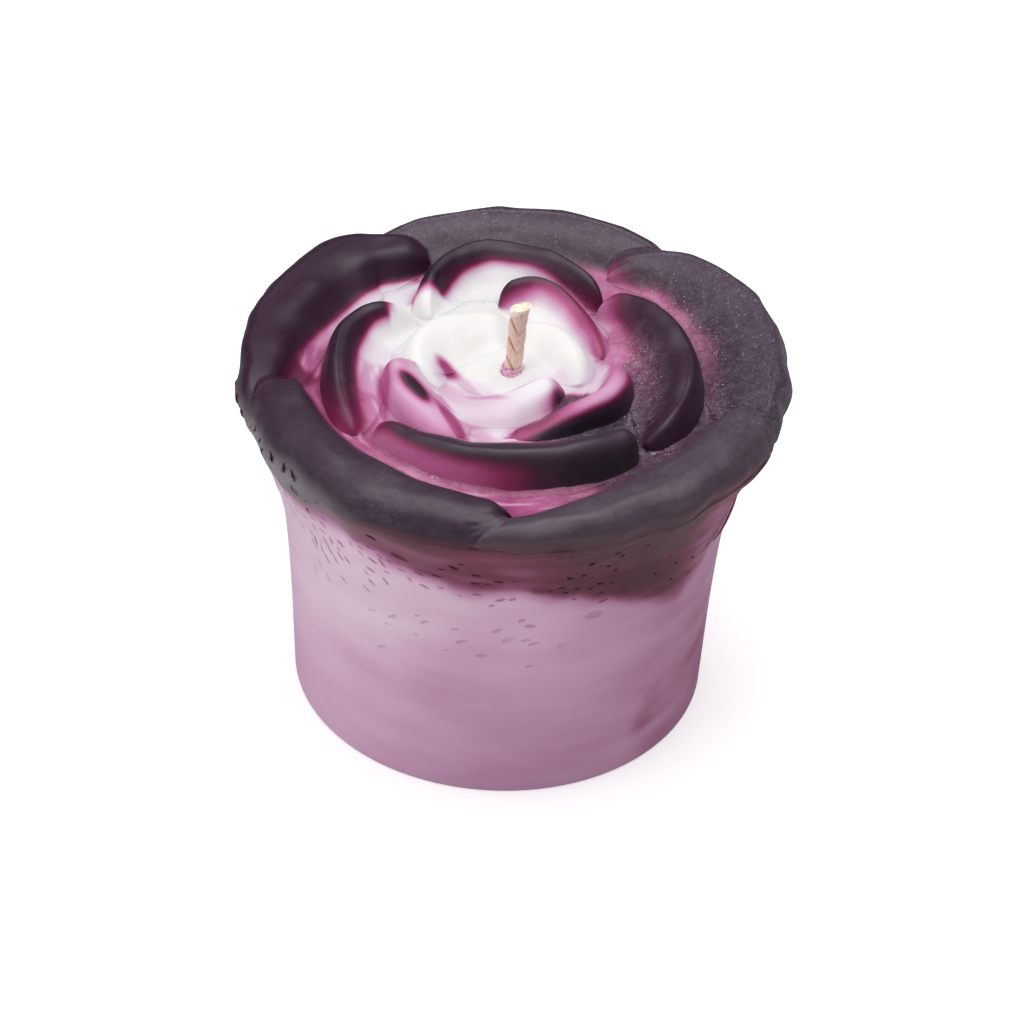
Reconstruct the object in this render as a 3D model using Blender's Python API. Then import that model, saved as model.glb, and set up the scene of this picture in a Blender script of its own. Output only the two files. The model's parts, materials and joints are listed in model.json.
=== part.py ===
# Flower candle: a wax cup with a rose of petals cast on its top and a braided wick through its middle.
# The wax is poured in stages, so the cup, the floor of the flower and each petal are solids of their own.
# Metres, +Z up. The origin is the middle of the flat base, and the camera side of the flower is -Y.

import math

import bmesh
import bpy
from mathutils import Vector

# Driving dimensions of the cup
BASE_RADIUS = 0.0300
RIM_RADIUS = 0.0383
RIM_HEIGHT = 0.0500
BASE_EDGE = 0.0006
CUP_WALL = 0.0045
FLOWER_POUR = 0.0080
STRAIGHT_SHARE = 0.10
FLARE_POWER = 3.4

# Driving dimensions of the flower
PETAL_HEIGHT = 0.0060
PETAL_RUN = 0.0100
FOOT_HEIGHT = 0.0006
HEART_RADIUS = 0.0080
HEART_HEIGHT = 0.0020
HEART_EDGE_HEIGHT = 0.0014

# Driving dimensions of the wick and its tab
WICK_RADIUS = 0.0012
WICK_EXPOSED = 0.0120
WICK_LEAN = 0.0009
WICK_INSET = 0.0004
COLLAR_WALL = 0.0008
COLLAR_HEIGHT = 0.0009
TAB_RADIUS = 0.0075
TAB_THICKNESS = 0.0004
TAB_INSET = 0.0003
TAB_NECK_WALL = 0.0004
TAB_NECK_HEIGHT = 0.0040

# The clearance that every piece keeps to its neighbour
GAP = 0.0003

# How finely round shapes and petals are cut
STATION_STEP = 0.0034
TURN_STEPS = 64
WALL_RINGS = 16
SMALL_TURN_STEPS = 24
WICK_ROUND_STEPS = 3
END_TURNS_DEG = (12, 34, 56, 76)
SMOOTH_ANGLE = math.radians(50)

# Levels that follow from the sizes above
FLOOR_HEIGHT = RIM_HEIGHT - GAP
POUR_HEIGHT = FLOOR_HEIGHT - FLOWER_POUR
PETAL_ROOT = RIM_HEIGHT
HEART_TOP = PETAL_ROOT + HEART_HEIGHT
WICK_TOP = HEART_TOP + WICK_EXPOSED
BORE_RADIUS = WICK_RADIUS + GAP
TAB_TOP = TAB_INSET + TAB_THICKNESS
NECK_RADIUS = BORE_RADIUS + TAB_NECK_WALL
NECK_TOP = TAB_TOP + TAB_NECK_HEIGHT

# Wax, cotton and tin: base colour, roughness, metallic
LILAC_WAX = ((0.50, 0.24, 0.42), 0.45, 0.0)
PLUM_WAX = ((0.060, 0.028, 0.055), 0.50, 0.0)
MAGENTA_WAX = ((0.34, 0.05, 0.17), 0.45, 0.0)
WHITE_WAX = ((0.82, 0.80, 0.80), 0.40, 0.0)
PINK_WAX = ((0.66, 0.30, 0.45), 0.42, 0.0)
COTTON = ((0.62, 0.45, 0.32), 0.90, 0.0)
TIN = ((0.62, 0.62, 0.60), 0.30, 1.0)

# A petal's section, from its inner foot over the lip to its outer foot. The first share runs across, -1 at the
# inner foot and 1 where the lip bulges furthest out, and the second runs up from the foot to the lip's top.
ROLLED_LIP_SHARES = (
    (-1.00, 0.00),
    (-0.78, 0.14),
    (-0.55, 0.44),
    (-0.34, 0.80),
    (-0.14, 0.97),
    (0.08, 1.00),
    (0.45, 0.92),
    (0.85, 0.66),
    (1.00, 0.36),
    (0.90, 0.00),
)
SPREAD_LIP_SHARES = (
    (-1.00, 0.00),
    (-0.80, 0.20),
    (-0.58, 0.48),
    (-0.36, 0.76),
    (-0.16, 0.94),
    (0.02, 1.00),
    (0.45, 0.95),
    (0.88, 0.72),
    (1.00, 0.42),
    (0.90, 0.00),
)
CUPPED_LIP_SHARES = (
    (-1.00, 0.00),
    (-0.75, 0.10),
    (-0.50, 0.28),
    (-0.28, 0.58),
    (-0.12, 0.88),
    (0.04, 1.00),
    (0.50, 0.92),
    (0.90, 0.62),
    (1.00, 0.30),
    (0.95, 0.00),
)

# Each petal follows its lip from end to end. A row is the bearing in degrees from +X, the lip's radius as a share of
# RIM_RADIUS, its height as a share of PETAL_HEIGHT, and its inner and outer run as shares of PETAL_RUN. The petals
# are in the order in which they lie on each other, the front one of the heart on top.
PETALS = (
    ("heart_petal_front", CUPPED_LIP_SHARES, WHITE_WAX, (
        (178, 0.250, 0.63, 0.16, 0.20),
        (190, 0.244, 0.75, 0.22, 0.28),
        (210, 0.226, 0.75, 0.30, 0.38),
        (240, 0.218, 0.72, 0.32, 0.44),
        (270, 0.208, 0.75, 0.30, 0.44),
        (299, 0.203, 0.83, 0.26, 0.38),
        (316, 0.231, 0.73, 0.20, 0.26),
        (323, 0.250, 0.57, 0.14, 0.18),
    )),
    ("heart_petal_right", ROLLED_LIP_SHARES, WHITE_WAX, (
        (84, 0.232, 0.60, 0.20, 0.20),
        (74, 0.246, 0.78, 0.28, 0.26),
        (55, 0.254, 0.85, 0.36, 0.29),
        (33, 0.254, 0.83, 0.36, 0.29),
        (13, 0.262, 0.75, 0.30, 0.26),
        (0, 0.276, 0.58, 0.20, 0.20),
    )),
    ("heart_petal_left", ROLLED_LIP_SHARES, WHITE_WAX, (
        (176, 0.362, 0.55, 0.22, 0.22),
        (168, 0.366, 0.73, 0.32, 0.28),
        (159, 0.356, 0.85, 0.40, 0.30),
        (148, 0.324, 0.92, 0.42, 0.30),
        (133, 0.272, 0.96, 0.40, 0.28),
        (116, 0.226, 0.90, 0.34, 0.26),
        (98, 0.204, 0.70, 0.24, 0.20),
    )),
    ("inner_petal_left", ROLLED_LIP_SHARES, PINK_WAX, (
        (186, 0.415, 0.68, 0.16, 0.20),
        (194, 0.426, 0.90, 0.26, 0.26),
        (206, 0.426, 0.90, 0.36, 0.32),
        (219, 0.414, 0.82, 0.40, 0.34),
        (234, 0.392, 0.66, 0.34, 0.30),
        (248, 0.392, 0.46, 0.22, 0.20),
    )),
    ("inner_petal_right", ROLLED_LIP_SHARES, PINK_WAX, (
        (346, 0.362, 0.70, 0.20, 0.18),
        (338, 0.385, 0.92, 0.32, 0.21),
        (328, 0.402, 0.90, 0.42, 0.23),
        (314, 0.382, 0.83, 0.44, 0.23),
        (298, 0.374, 0.75, 0.40, 0.22),
        (282, 0.385, 0.58, 0.30, 0.20),
        (272, 0.400, 0.43, 0.20, 0.16),
    )),
    ("inner_petal_back", CUPPED_LIP_SHARES, MAGENTA_WAX, (
        (102, 0.452, 0.62, 0.20, 0.14),
        (94, 0.466, 0.85, 0.38, 0.17),
        (84, 0.466, 1.00, 0.54, 0.19),
        (73, 0.456, 1.00, 0.58, 0.19),
        (61, 0.430, 0.92, 0.50, 0.19),
        (47, 0.400, 0.83, 0.42, 0.17),
        (33, 0.380, 0.73, 0.32, 0.15),
        (21, 0.370, 0.57, 0.18, 0.12),
    )),
    ("middle_petal_front", ROLLED_LIP_SHARES, PLUM_WAX, (
        (217, 0.598, 0.42, 0.20, 0.17),
        (226, 0.580, 0.67, 0.36, 0.21),
        (240, 0.580, 0.83, 0.54, 0.23),
        (256, 0.588, 0.88, 0.64, 0.25),
        (273, 0.590, 0.92, 0.68, 0.27),
        (289, 0.593, 0.92, 0.66, 0.29),
        (303, 0.595, 0.92, 0.58, 0.29),
        (314, 0.600, 0.86, 0.44, 0.26),
        (319, 0.604, 0.74, 0.32, 0.22),
    )),
    ("middle_petal_left", CUPPED_LIP_SHARES, PLUM_WAX, (
        (149, 0.545, 0.78, 0.24, 0.18),
        (156, 0.612, 0.96, 0.42, 0.20),
        (166, 0.648, 0.93, 0.68, 0.21),
        (176, 0.647, 0.84, 0.78, 0.21),
        (187, 0.632, 0.70, 0.70, 0.21),
        (199, 0.620, 0.54, 0.50, 0.20),
        (209, 0.612, 0.38, 0.30, 0.18),
    )),
    ("middle_petal_right", CUPPED_LIP_SHARES, PLUM_WAX, (
        (52, 0.524, 0.66, 0.30, 0.18),
        (44, 0.574, 0.90, 0.52, 0.22),
        (34, 0.602, 1.00, 0.82, 0.24),
        (20, 0.624, 0.97, 1.06, 0.25),
        (6, 0.642, 0.90, 1.14, 0.25),
        (353, 0.650, 0.83, 1.04, 0.23),
        (341, 0.650, 0.73, 0.80, 0.21),
        (331, 0.640, 0.57, 0.50, 0.20),
        (324, 0.620, 0.40, 0.30, 0.17),
    )),
    ("middle_petal_back", CUPPED_LIP_SHARES, PLUM_WAX, (
        (128, 0.510, 0.68, 0.28, 0.20),
        (121, 0.580, 0.88, 0.44, 0.23),
        (110, 0.658, 1.00, 0.70, 0.25),
        (99, 0.694, 1.00, 0.84, 0.25),
        (88, 0.680, 1.00, 0.80, 0.25),
        (76, 0.638, 0.99, 0.66, 0.23),
        (65, 0.596, 0.88, 0.46, 0.21),
        (55, 0.562, 0.64, 0.28, 0.17),
    )),
    ("outer_petal_front_left", ROLLED_LIP_SHARES, PLUM_WAX, (
        (187, 0.812, 0.50, 0.24, 0.34),
        (195, 0.826, 0.67, 0.38, 0.54),
        (205, 0.844, 0.72, 0.56, 0.54),
        (218, 0.868, 0.72, 0.74, 0.47),
        (232, 0.888, 0.70, 0.84, 0.40),
        (245, 0.898, 0.68, 0.86, 0.37),
        (257, 0.892, 0.67, 0.74, 0.35),
        (266, 0.872, 0.62, 0.52, 0.32),
        (271, 0.855, 0.50, 0.34, 0.26),
    )),
    ("outer_petal_front_right", ROLLED_LIP_SHARES, PLUM_WAX, (
        (348, 0.892, 0.46, 0.42, 0.26),
        (341, 0.910, 0.66, 0.64, 0.31),
        (331, 0.914, 0.72, 0.82, 0.31),
        (316, 0.910, 0.72, 0.90, 0.31),
        (302, 0.914, 0.70, 0.90, 0.30),
        (290, 0.922, 0.66, 0.84, 0.29),
        (280, 0.928, 0.58, 0.68, 0.27),
        (271, 0.924, 0.46, 0.42, 0.24),
        (263, 0.905, 0.30, 0.20, 0.20),
    )),
    ("outer_petal_left", SPREAD_LIP_SHARES, PLUM_WAX, (
        (193, 0.922, 0.34, 0.28, 0.24),
        (184, 0.940, 0.54, 0.58, 0.28),
        (171, 0.946, 0.66, 0.86, 0.29),
        (156, 0.942, 0.69, 0.94, 0.29),
        (143, 0.936, 0.70, 0.92, 0.29),
        (131, 0.914, 0.71, 0.72, 0.28),
        (122, 0.848, 0.68, 0.50, 0.26),
        (116, 0.776, 0.52, 0.30, 0.20),
    )),
    ("outer_petal_right", SPREAD_LIP_SHARES, PLUM_WAX, (
        (64, 0.744, 0.40, 0.20, 0.20),
        (59, 0.832, 0.58, 0.34, 0.26),
        (52, 0.916, 0.68, 0.66, 0.29),
        (42, 0.948, 0.70, 1.00, 0.29),
        (28, 0.956, 0.68, 1.10, 0.28),
        (12, 0.962, 0.67, 1.12, 0.27),
        (356, 0.956, 0.66, 1.04, 0.28),
        (345, 0.936, 0.52, 0.66, 0.26),
        (337, 0.900, 0.34, 0.30, 0.20),
    )),
    ("outer_petal_back", SPREAD_LIP_SHARES, PLUM_WAX, (
        (128, 0.870, 0.34, 0.26, 0.24),
        (118, 0.892, 0.56, 0.50, 0.28),
        (107, 0.912, 0.68, 0.68, 0.29),
        (96, 0.942, 0.71, 0.76, 0.28),
        (85, 0.930, 0.69, 0.76, 0.29),
        (75, 0.920, 0.67, 0.78, 0.29),
        (66, 0.932, 0.66, 0.78, 0.29),
        (56, 0.920, 0.54, 0.54, 0.26),
        (50, 0.896, 0.36, 0.28, 0.20),
    )),
)


def clear_scene():
    for obj in list(bpy.data.objects):
        bpy.data.objects.remove(obj)


def add_object(name, mesh, finish):
    colour, roughness, metallic = finish
    material = bpy.data.materials.new(name)
    material.use_nodes = True
    shader = material.node_tree.nodes["Principled BSDF"]
    shader.inputs["Base Color"].default_value = (*colour, 1)
    shader.inputs["Roughness"].default_value = roughness
    shader.inputs["Metallic"].default_value = metallic
    mesh.materials.append(material)
    obj = bpy.data.objects.new(name, mesh)
    bpy.context.scene.collection.objects.link(obj)
    return obj


def mesh_from(bm, name):
    bmesh.ops.recalc_face_normals(bm, faces=bm.faces)
    mesh = bpy.data.meshes.new(name)
    bm.to_mesh(mesh)
    bm.free()
    mesh.shade_smooth()
    mesh.set_sharp_from_angle(angle=SMOOTH_ANGLE)
    return mesh


def turned_mesh(name, outline, steps):
    """A closed outline of (radius, height) points, all off the axis, turned about Z."""
    bm = bmesh.new()
    points = [bm.verts.new((radius, 0, height)) for radius, height in outline]
    edges = [bm.edges.new(pair) for pair in zip(points, points[1:] + points[:1])]
    bmesh.ops.spin(
        bm,
        geom=points + edges,
        cent=(0, 0, 0),
        axis=(0, 0, 1),
        angle=math.tau,
        steps=steps,
        use_merge=True,
    )
    return mesh_from(bm, name)


def wall_radius(height):
    """The cup's outer radius: nearly straight low down, then flaring out to the rim."""
    share = height / RIM_HEIGHT
    flare = STRAIGHT_SHARE * share + (1 - STRAIGHT_SHARE) * share**FLARE_POWER
    return BASE_RADIUS + (RIM_RADIUS - BASE_RADIUS) * flare


def wall_points(low, high, rings):
    heights = [low + (high - low) * ring / (rings - 1) for ring in range(rings)]
    return [(wall_radius(height), height) for height in heights]


def add_lilac_body():
    """The cup: a dish in its top for the flower's pour, a bore for the wick, and a recess for the tab and its neck."""
    recess = TAB_RADIUS + GAP
    counterbore = NECK_RADIUS + GAP
    dish = RIM_RADIUS - CUP_WALL
    outline = [
        (BORE_RADIUS, NECK_TOP + GAP),
        (counterbore, NECK_TOP + GAP),
        (counterbore, TAB_TOP + GAP),
        (recess, TAB_TOP + GAP),
        (recess, 0),
        (BASE_RADIUS - BASE_EDGE, 0),
        *wall_points(BASE_EDGE, FLOOR_HEIGHT, WALL_RINGS),
        (dish, FLOOR_HEIGHT),
        (dish, POUR_HEIGHT),
        (BORE_RADIUS, POUR_HEIGHT),
    ]
    add_object("lilac_body", turned_mesh("lilac_body", outline, TURN_STEPS), LILAC_WAX)


def add_flower_base():
    """The pour that fills the dish: its top is the floor that the petals stand on."""
    reach = RIM_RADIUS - CUP_WALL - GAP
    outline = [
        (BORE_RADIUS, POUR_HEIGHT + GAP),
        (reach, POUR_HEIGHT + GAP),
        (reach, FLOOR_HEIGHT),
        (BORE_RADIUS, FLOOR_HEIGHT),
    ]
    add_object("flower_base", turned_mesh("flower_base", outline, TURN_STEPS), MAGENTA_WAX)


def curve_through(rows, share):
    """A point at this share of the way along the rows, on a smooth curve through all of them."""
    spans = len(rows) - 1
    place = min(share * spans, spans)
    i = min(int(place), spans - 1)
    t = place - i
    before, first, last, after = (rows[max(0, min(k, spans))] for k in (i - 1, i, i + 1, i + 2))
    return [
        (2 * b + (c - a) * t + (2 * a - 5 * b + 4 * c - d) * t**2 + (3 * b - a - 3 * c + d) * t**3) / 2
        for a, b, c, d in zip(before, first, last, after)
    ]


def lip_rows(rows):
    """Each row of a petal's table as x, y, height, inner run and outer run in metres."""
    found = []
    for bearing, radius, height, inner, outer in rows:
        angle = math.radians(bearing)
        reach = radius * RIM_RADIUS
        found.append((
            reach * math.cos(angle),
            reach * math.sin(angle),
            height * PETAL_HEIGHT,
            inner * PETAL_RUN,
            outer * PETAL_RUN,
        ))
    return found


def stations(rows):
    """Shares along the lip and the section's scale at each. At both ends it shrinks to a round tip."""
    length = sum(math.dist(a[:2], b[:2]) for a, b in zip(rows, rows[1:]))
    first_tip, last_tip = rows[0][-1], rows[-1][-1]
    turns = [math.radians(turn) for turn in END_TURNS_DEG]
    opening = [(first_tip * (1 - math.cos(turn)), math.sin(turn)) for turn in turns]
    closing = [(length - last_tip * (1 - math.cos(turn)), math.sin(turn)) for turn in reversed(turns)]
    stretch = length - first_tip - last_tip
    count = max(1, round(stretch / STATION_STEP))
    between = [(first_tip + stretch * i / count, 1) for i in range(count + 1)]
    return [(place / length, scale) for place, scale in opening + between + closing]


def petal_mesh(name, section, table, grow=0):
    """A petal as a skin over sections across its lip. With grow, it is that much larger all round, as a cutter."""
    rows = lip_rows(table)
    places = stations(rows)
    middle = curve_through(rows, 1 / 2)
    nearby = curve_through(rows, 1 / 2 + 1 / len(rows))
    side = Vector((nearby[1] - middle[1], middle[0] - nearby[0])).dot(Vector(middle[:2]))
    outward = math.copysign(1, side)
    bm = bmesh.new()
    rings = []
    for share, scale in places:
        x, y, height, inner, outer = curve_through(rows, share)
        step = 1 / (len(rows) * len(places))
        ahead = curve_through(rows, min(1, share + step))
        behind = curve_through(rows, max(0, share - step))
        along = Vector((ahead[0] - behind[0], ahead[1] - behind[1], 0)).normalized()
        across = Vector((along.y, -along.x, 0)) * outward
        stretch = grow if share > 1 / 2 else -grow
        lip = Vector((x, y, 0)) + along * stretch * (1 - scale)
        top = FOOT_HEIGHT + max(0, height - FOOT_HEIGHT) * scale
        ring = []
        for run, rise in section:
            reach = run * (inner if run < 0 else outer) * scale + math.copysign(grow, run)
            level = PETAL_ROOT + FOOT_HEIGHT + (top - FOOT_HEIGHT) * rise + grow
            ring.append(lip + across * reach + Vector((0, 0, level)))
        ring.append(Vector((ring[-1].x, ring[-1].y, PETAL_ROOT - grow)))
        ring.append(Vector((ring[0].x, ring[0].y, PETAL_ROOT - grow)))
        rings.append([bm.verts.new(point) for point in ring])
    for ring, following in zip(rings, rings[1:]):
        for i in range(len(ring)):
            bm.faces.new((ring[i - 1], ring[i], following[i], following[i - 1]))
    bm.faces.new(rings[0])
    bm.faces.new(rings[-1])
    return mesh_from(bm, name)


def boxes_meet(first, second):
    return all(
        first.bound_box[0][axis] < second.bound_box[6][axis]
        and second.bound_box[0][axis] < first.bound_box[6][axis]
        for axis in range(3)
    )


def add_cutter(name, mesh):
    cutter = bpy.data.objects.new(name, mesh)
    bpy.context.scene.collection.objects.link(cutter)
    cutter.hide_render = True
    cutter.display_type = "WIRE"
    return cutter


def cut(target, cutters):
    for cutter in cutters:
        if not boxes_meet(target, cutter):
            continue
        modifier = target.modifiers.new("clear_of_" + cutter.name, "BOOLEAN")
        modifier.operation = "DIFFERENCE"
        modifier.object = cutter


def add_flower():
    """The petals and the heart. A petal is cut clear of every petal that lies on it."""
    cutters = []
    for name, section, finish, table in PETALS:
        petal = add_object(name, petal_mesh(name, section, table), finish)
        cut(petal, cutters)
        cutters.append(add_cutter(name + "_clearance", petal_mesh(name, section, table, GAP)))
    add_flower_heart(cutters)


def add_flower_heart(cutters):
    """The shallow pool of white wax round the wick, between the petals of the heart."""
    outline = [
        (BORE_RADIUS, PETAL_ROOT),
        (HEART_RADIUS, PETAL_ROOT),
        (HEART_RADIUS, PETAL_ROOT + HEART_EDGE_HEIGHT),
        (BORE_RADIUS, HEART_TOP),
    ]
    heart = add_object("flower_heart", turned_mesh("flower_heart", outline, SMALL_TURN_STEPS), WHITE_WAX)
    cut(heart, cutters)


def add_wick():
    """The cotton wick: straight through the wax, then leaning a little to +X."""
    curve = bpy.data.curves.new("wick", "CURVE")
    curve.dimensions = "3D"
    curve.bevel_depth = WICK_RADIUS
    curve.bevel_resolution = WICK_ROUND_STEPS
    curve.use_fill_caps = True
    spline = curve.splines.new("POLY")
    route = [(0, WICK_INSET), (0, PETAL_ROOT), (0, HEART_TOP), (WICK_LEAN / 2, (HEART_TOP + WICK_TOP) / 2),
             (WICK_LEAN, WICK_TOP)]
    spline.points.add(len(route) - 1)
    for point, (x, z) in zip(spline.points, route):
        point.co = (x, 0, z, 1)
    add_object("wick", curve, COTTON)


def add_wick_collar():
    """The crumb of dyed wax that ran round the wick where it left the mould."""
    low = HEART_TOP + GAP
    inner = BORE_RADIUS
    outline = [
        (inner, low),
        (inner + COLLAR_WALL, low),
        (inner + COLLAR_WALL / 2, low + COLLAR_HEIGHT),
        (inner, low + COLLAR_HEIGHT),
    ]
    add_object("wick_collar", turned_mesh("wick_collar", outline, SMALL_TURN_STEPS), PINK_WAX)


def add_wick_tab():
    """The tinned tab under the candle, with the neck that is pinched on the wick."""
    outline = [
        (BORE_RADIUS, TAB_INSET),
        (TAB_RADIUS, TAB_INSET),
        (TAB_RADIUS, TAB_TOP),
        (NECK_RADIUS, TAB_TOP),
        (NECK_RADIUS, NECK_TOP),
        (BORE_RADIUS, NECK_TOP),
    ]
    add_object("wick_tab", turned_mesh("wick_tab", outline, SMALL_TURN_STEPS), TIN)


clear_scene()
add_lilac_body()
add_flower_base()
add_flower()
add_wick()
add_wick_collar()
add_wick_tab()
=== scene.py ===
import json
import math

import bpy
import numpy as np
from mathutils import Matrix, Vector, noise
from mathutils.bvhtree import BVHTree

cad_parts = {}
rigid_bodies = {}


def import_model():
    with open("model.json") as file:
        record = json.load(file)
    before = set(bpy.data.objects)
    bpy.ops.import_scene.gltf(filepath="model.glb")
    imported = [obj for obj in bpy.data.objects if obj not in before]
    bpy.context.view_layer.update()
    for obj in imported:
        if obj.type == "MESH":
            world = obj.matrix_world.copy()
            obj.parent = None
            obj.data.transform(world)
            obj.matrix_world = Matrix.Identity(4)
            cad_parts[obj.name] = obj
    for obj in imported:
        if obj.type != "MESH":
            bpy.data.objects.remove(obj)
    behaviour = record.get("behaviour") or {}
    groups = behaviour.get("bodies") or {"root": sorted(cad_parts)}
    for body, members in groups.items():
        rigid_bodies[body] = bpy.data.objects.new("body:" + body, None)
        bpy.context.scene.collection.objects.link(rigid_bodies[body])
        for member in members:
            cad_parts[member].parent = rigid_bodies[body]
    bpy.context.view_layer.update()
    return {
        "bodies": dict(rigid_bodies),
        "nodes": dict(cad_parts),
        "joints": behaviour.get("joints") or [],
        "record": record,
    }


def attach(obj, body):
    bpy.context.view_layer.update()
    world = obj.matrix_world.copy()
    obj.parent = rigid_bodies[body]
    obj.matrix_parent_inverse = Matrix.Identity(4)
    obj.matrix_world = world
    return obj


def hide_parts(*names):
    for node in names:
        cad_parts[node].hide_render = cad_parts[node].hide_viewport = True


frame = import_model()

# The studio is a white paper floor in a white room, with a soft panel above and one at the front left.
# The camera stands as it did for the photo: its place is worked out from where the base's centre shows.
# The studio is in metres and the candle in millimetres, brought to metres when a mesh gets its points.
MM = 0.001
focal_px = 4042
picture_px = 1024
base_centre_px = (497.2, 657.5)
eye_distance = 0.600
eye_elevation = math.radians(39.8)
eye_roll = math.radians(2.63)

bpy.ops.object.select_all(action="DESELECT")
ahead = Vector((0, math.cos(eye_elevation), -math.sin(eye_elevation)))
upright = Vector((0, math.sin(eye_elevation), math.cos(eye_elevation)))
level = Vector((1, 0, 0))
picture_right = level * math.cos(eye_roll) + upright * math.sin(eye_roll)
picture_up = upright * math.cos(eye_roll) - level * math.sin(eye_roll)
gaze = (
    ahead * focal_px
    + picture_right * (picture_px / 2 - base_centre_px[0])
    + picture_up * (base_centre_px[1] - picture_px / 2)
)
backward = -gaze.normalized()
sideways = picture_up.cross(backward).normalized()
bpy.ops.object.camera_add()
camera = bpy.context.object
turn = Matrix((sideways, backward.cross(sideways), backward)).transposed()
camera.matrix_world = Matrix.Translation(-ahead * eye_distance) @ turn.to_4x4()
camera.data.lens = focal_px / picture_px * camera.data.sensor_width
camera.data.clip_start = 0.01
camera.data.clip_end = 20
bpy.context.scene.camera = camera
bpy.context.scene.view_settings.view_transform = "Standard"


def node_tree(owner):
    """Empties the node tree of a material or world, and gives back a function that adds nodes to it."""
    owner.use_nodes = True
    tree = owner.node_tree
    tree.nodes.clear()

    def add(kind, inputs=(), **settings):
        node = tree.nodes.new(kind)
        for key, value in settings.items():
            setattr(node, key, value)
        for socket, value in dict(inputs).items():
            if isinstance(value, bpy.types.NodeSocket):
                tree.links.new(value, node.inputs[socket])
            else:
                node.inputs[socket].default_value = value
        return node

    return add


def new_material(name):
    """A material with an empty node tree, and the function that adds nodes to it."""
    material = bpy.data.materials.new(name)
    return material, node_tree(material)


def seen_rays(add):
    """1 for rays from the camera, also through clear things, and 0 for the light that falls on the candle."""
    rays = add("ShaderNodeLightPath").outputs
    either = {0: rays["Is Camera Ray"], 1: rays["Is Transmission Ray"]}
    return add("ShaderNodeMath", either, operation="MAXIMUM").outputs[0]


room = bpy.data.worlds.new("white_room")
bpy.context.scene.world = room
add = node_tree(room)
direction = add("ShaderNodeSeparateXYZ", {0: add("ShaderNodeTexCoord").outputs["Generated"]})
overhead = add("ShaderNodeMapRange", {"Value": direction.outputs["Z"], "From Min": 0.62, "From Max": 1.0,
                                      "To Min": 0.06, "To Max": 2.2}, interpolation_type="SMOOTHSTEP")
glossy = add("ShaderNodeLightPath").outputs["Is Glossy Ray"]
strength = add("ShaderNodeMix", {0: glossy, 2: 0.68, 3: overhead.outputs[0]})
plain = add("ShaderNodeBackground", {"Color": (1, 1, 1, 1), "Strength": strength.outputs[0]})
white = add("ShaderNodeBackground", {"Color": (1, 1, 1, 1), "Strength": 1.0})
seen = add("ShaderNodeMixShader", {0: seen_rays(add), 1: plain.outputs[0], 2: white.outputs[0]})
add("ShaderNodeOutputWorld", {0: seen.outputs[0]})

bpy.ops.mesh.primitive_plane_add(size=6)
floor = bpy.context.object
floor.name = "studio_floor"
paper, add = new_material("white_paper")
mirrored = add("ShaderNodeLightPath").outputs["Is Glossy Ray"]
shade = add("ShaderNodeMix", {0: mirrored, 2: 0.80, 3: 0.36})
matt = add("ShaderNodeBsdfDiffuse", {"Color": shade.outputs[0]})
glow = add("ShaderNodeEmission", {"Color": (1, 1, 1, 1), "Strength": 0.42})
lifted = add("ShaderNodeAddShader", {0: matt.outputs[0], 1: glow.outputs[0]})
seen = add("ShaderNodeMixShader", {0: seen_rays(add), 1: matt.outputs[0], 2: lifted.outputs[0]})
add("ShaderNodeOutputMaterial", {0: seen.outputs[0]})
floor.data.materials.append(paper)


def add_panel(name, place, size, watts, aim=(0, 0, 0.045)):
    """A soft square lamp that faces the candle."""
    bpy.ops.object.light_add(type="AREA", location=place)
    lamp = bpy.context.object
    lamp.name = name
    lamp.data.shape = "SQUARE"
    lamp.data.size = size
    lamp.data.energy = watts
    lamp.rotation_euler = (Vector(aim) - Vector(place)).to_track_quat("-Z", "Y").to_euler()


add_panel("panel_above", (0.05, 0.12, 1.10), 0.80, 5.2)
add_panel("panel_left", (-0.80, -0.30, 0.58), 0.90, 3.0)

# The cup is one pour of lilac wax, cast in a soft mould that flares to the rim, with plum dye run down it.
# Its outer wall is one smooth turned face with small pits in it, where air was caught against the mould.
# The pour for the flower fills the dish in its top, and the wick's tab sits in the recess under it.
# The wall's outline: height, radius.
WALL = (
    (0, 29.9), (6, 30.15), (14, 30.5), (22, 31.0), (30, 31.75), (36, 33.0), (40, 34.25), (44, 35.8),
    (48, 37.4), (52, 39.0),
)
WALL_TOP = 49.0
WALL_ROWS = 130
CUP_TURNS = 480
FRONT_FLAT = 1.1
FLAT_FROM = 38
FLAT_OVER = 12
FOOT_ROUND_IN = 0.45
FOOT_ROUND_UP = 0.55
CUP_TOP = 49.6
CUP_TOP_RADIUS = 36.0
DISH_RADIUS = 33.8
DISH_FLOOR = 41.7
BORE_RADIUS = 1.6
NECK_RADIUS = 2.2
NECK_TOP = 5.0
RECESS_RADIUS = 7.8
RECESS_TOP = 1.0


def through(rows, shares):
    """Points at these shares of the way along the rows, on a smooth curve through all of them."""
    rows = np.asarray(rows, float)
    spans = len(rows) - 1
    place = np.clip(shares, 0, 1) * spans
    start = np.minimum(place.astype(int), spans - 1)
    t = (place - start)[..., None]
    a, b, c, d = (rows[np.clip(start + k, 0, spans)] for k in (-1, 0, 1, 2))
    return (2 * b + (c - a) * t + (2 * a - 5 * b + 4 * c - d) * t**2 + (3 * b - a - 3 * c + d) * t**3) / 2


def soft_step(value):
    """0 below 0, 1 above 1, and a smooth way between them."""
    value = np.clip(value, 0, 1)
    return value * value * (3 - 2 * value)


def wall_radius(height, bearing):
    """The cup's radius. Its front is a little flatter near the rim, where the mould was opened."""
    outline = through(WALL, np.linspace(0, 1, 400))
    radius = np.interp(height, outline[:, 0], outline[:, 1])
    front = np.clip(-np.sin(bearing), 0, 1) ** 2
    return radius - FRONT_FLAT * front * soft_step((height - FLAT_FROM) / FLAT_OVER)


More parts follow.
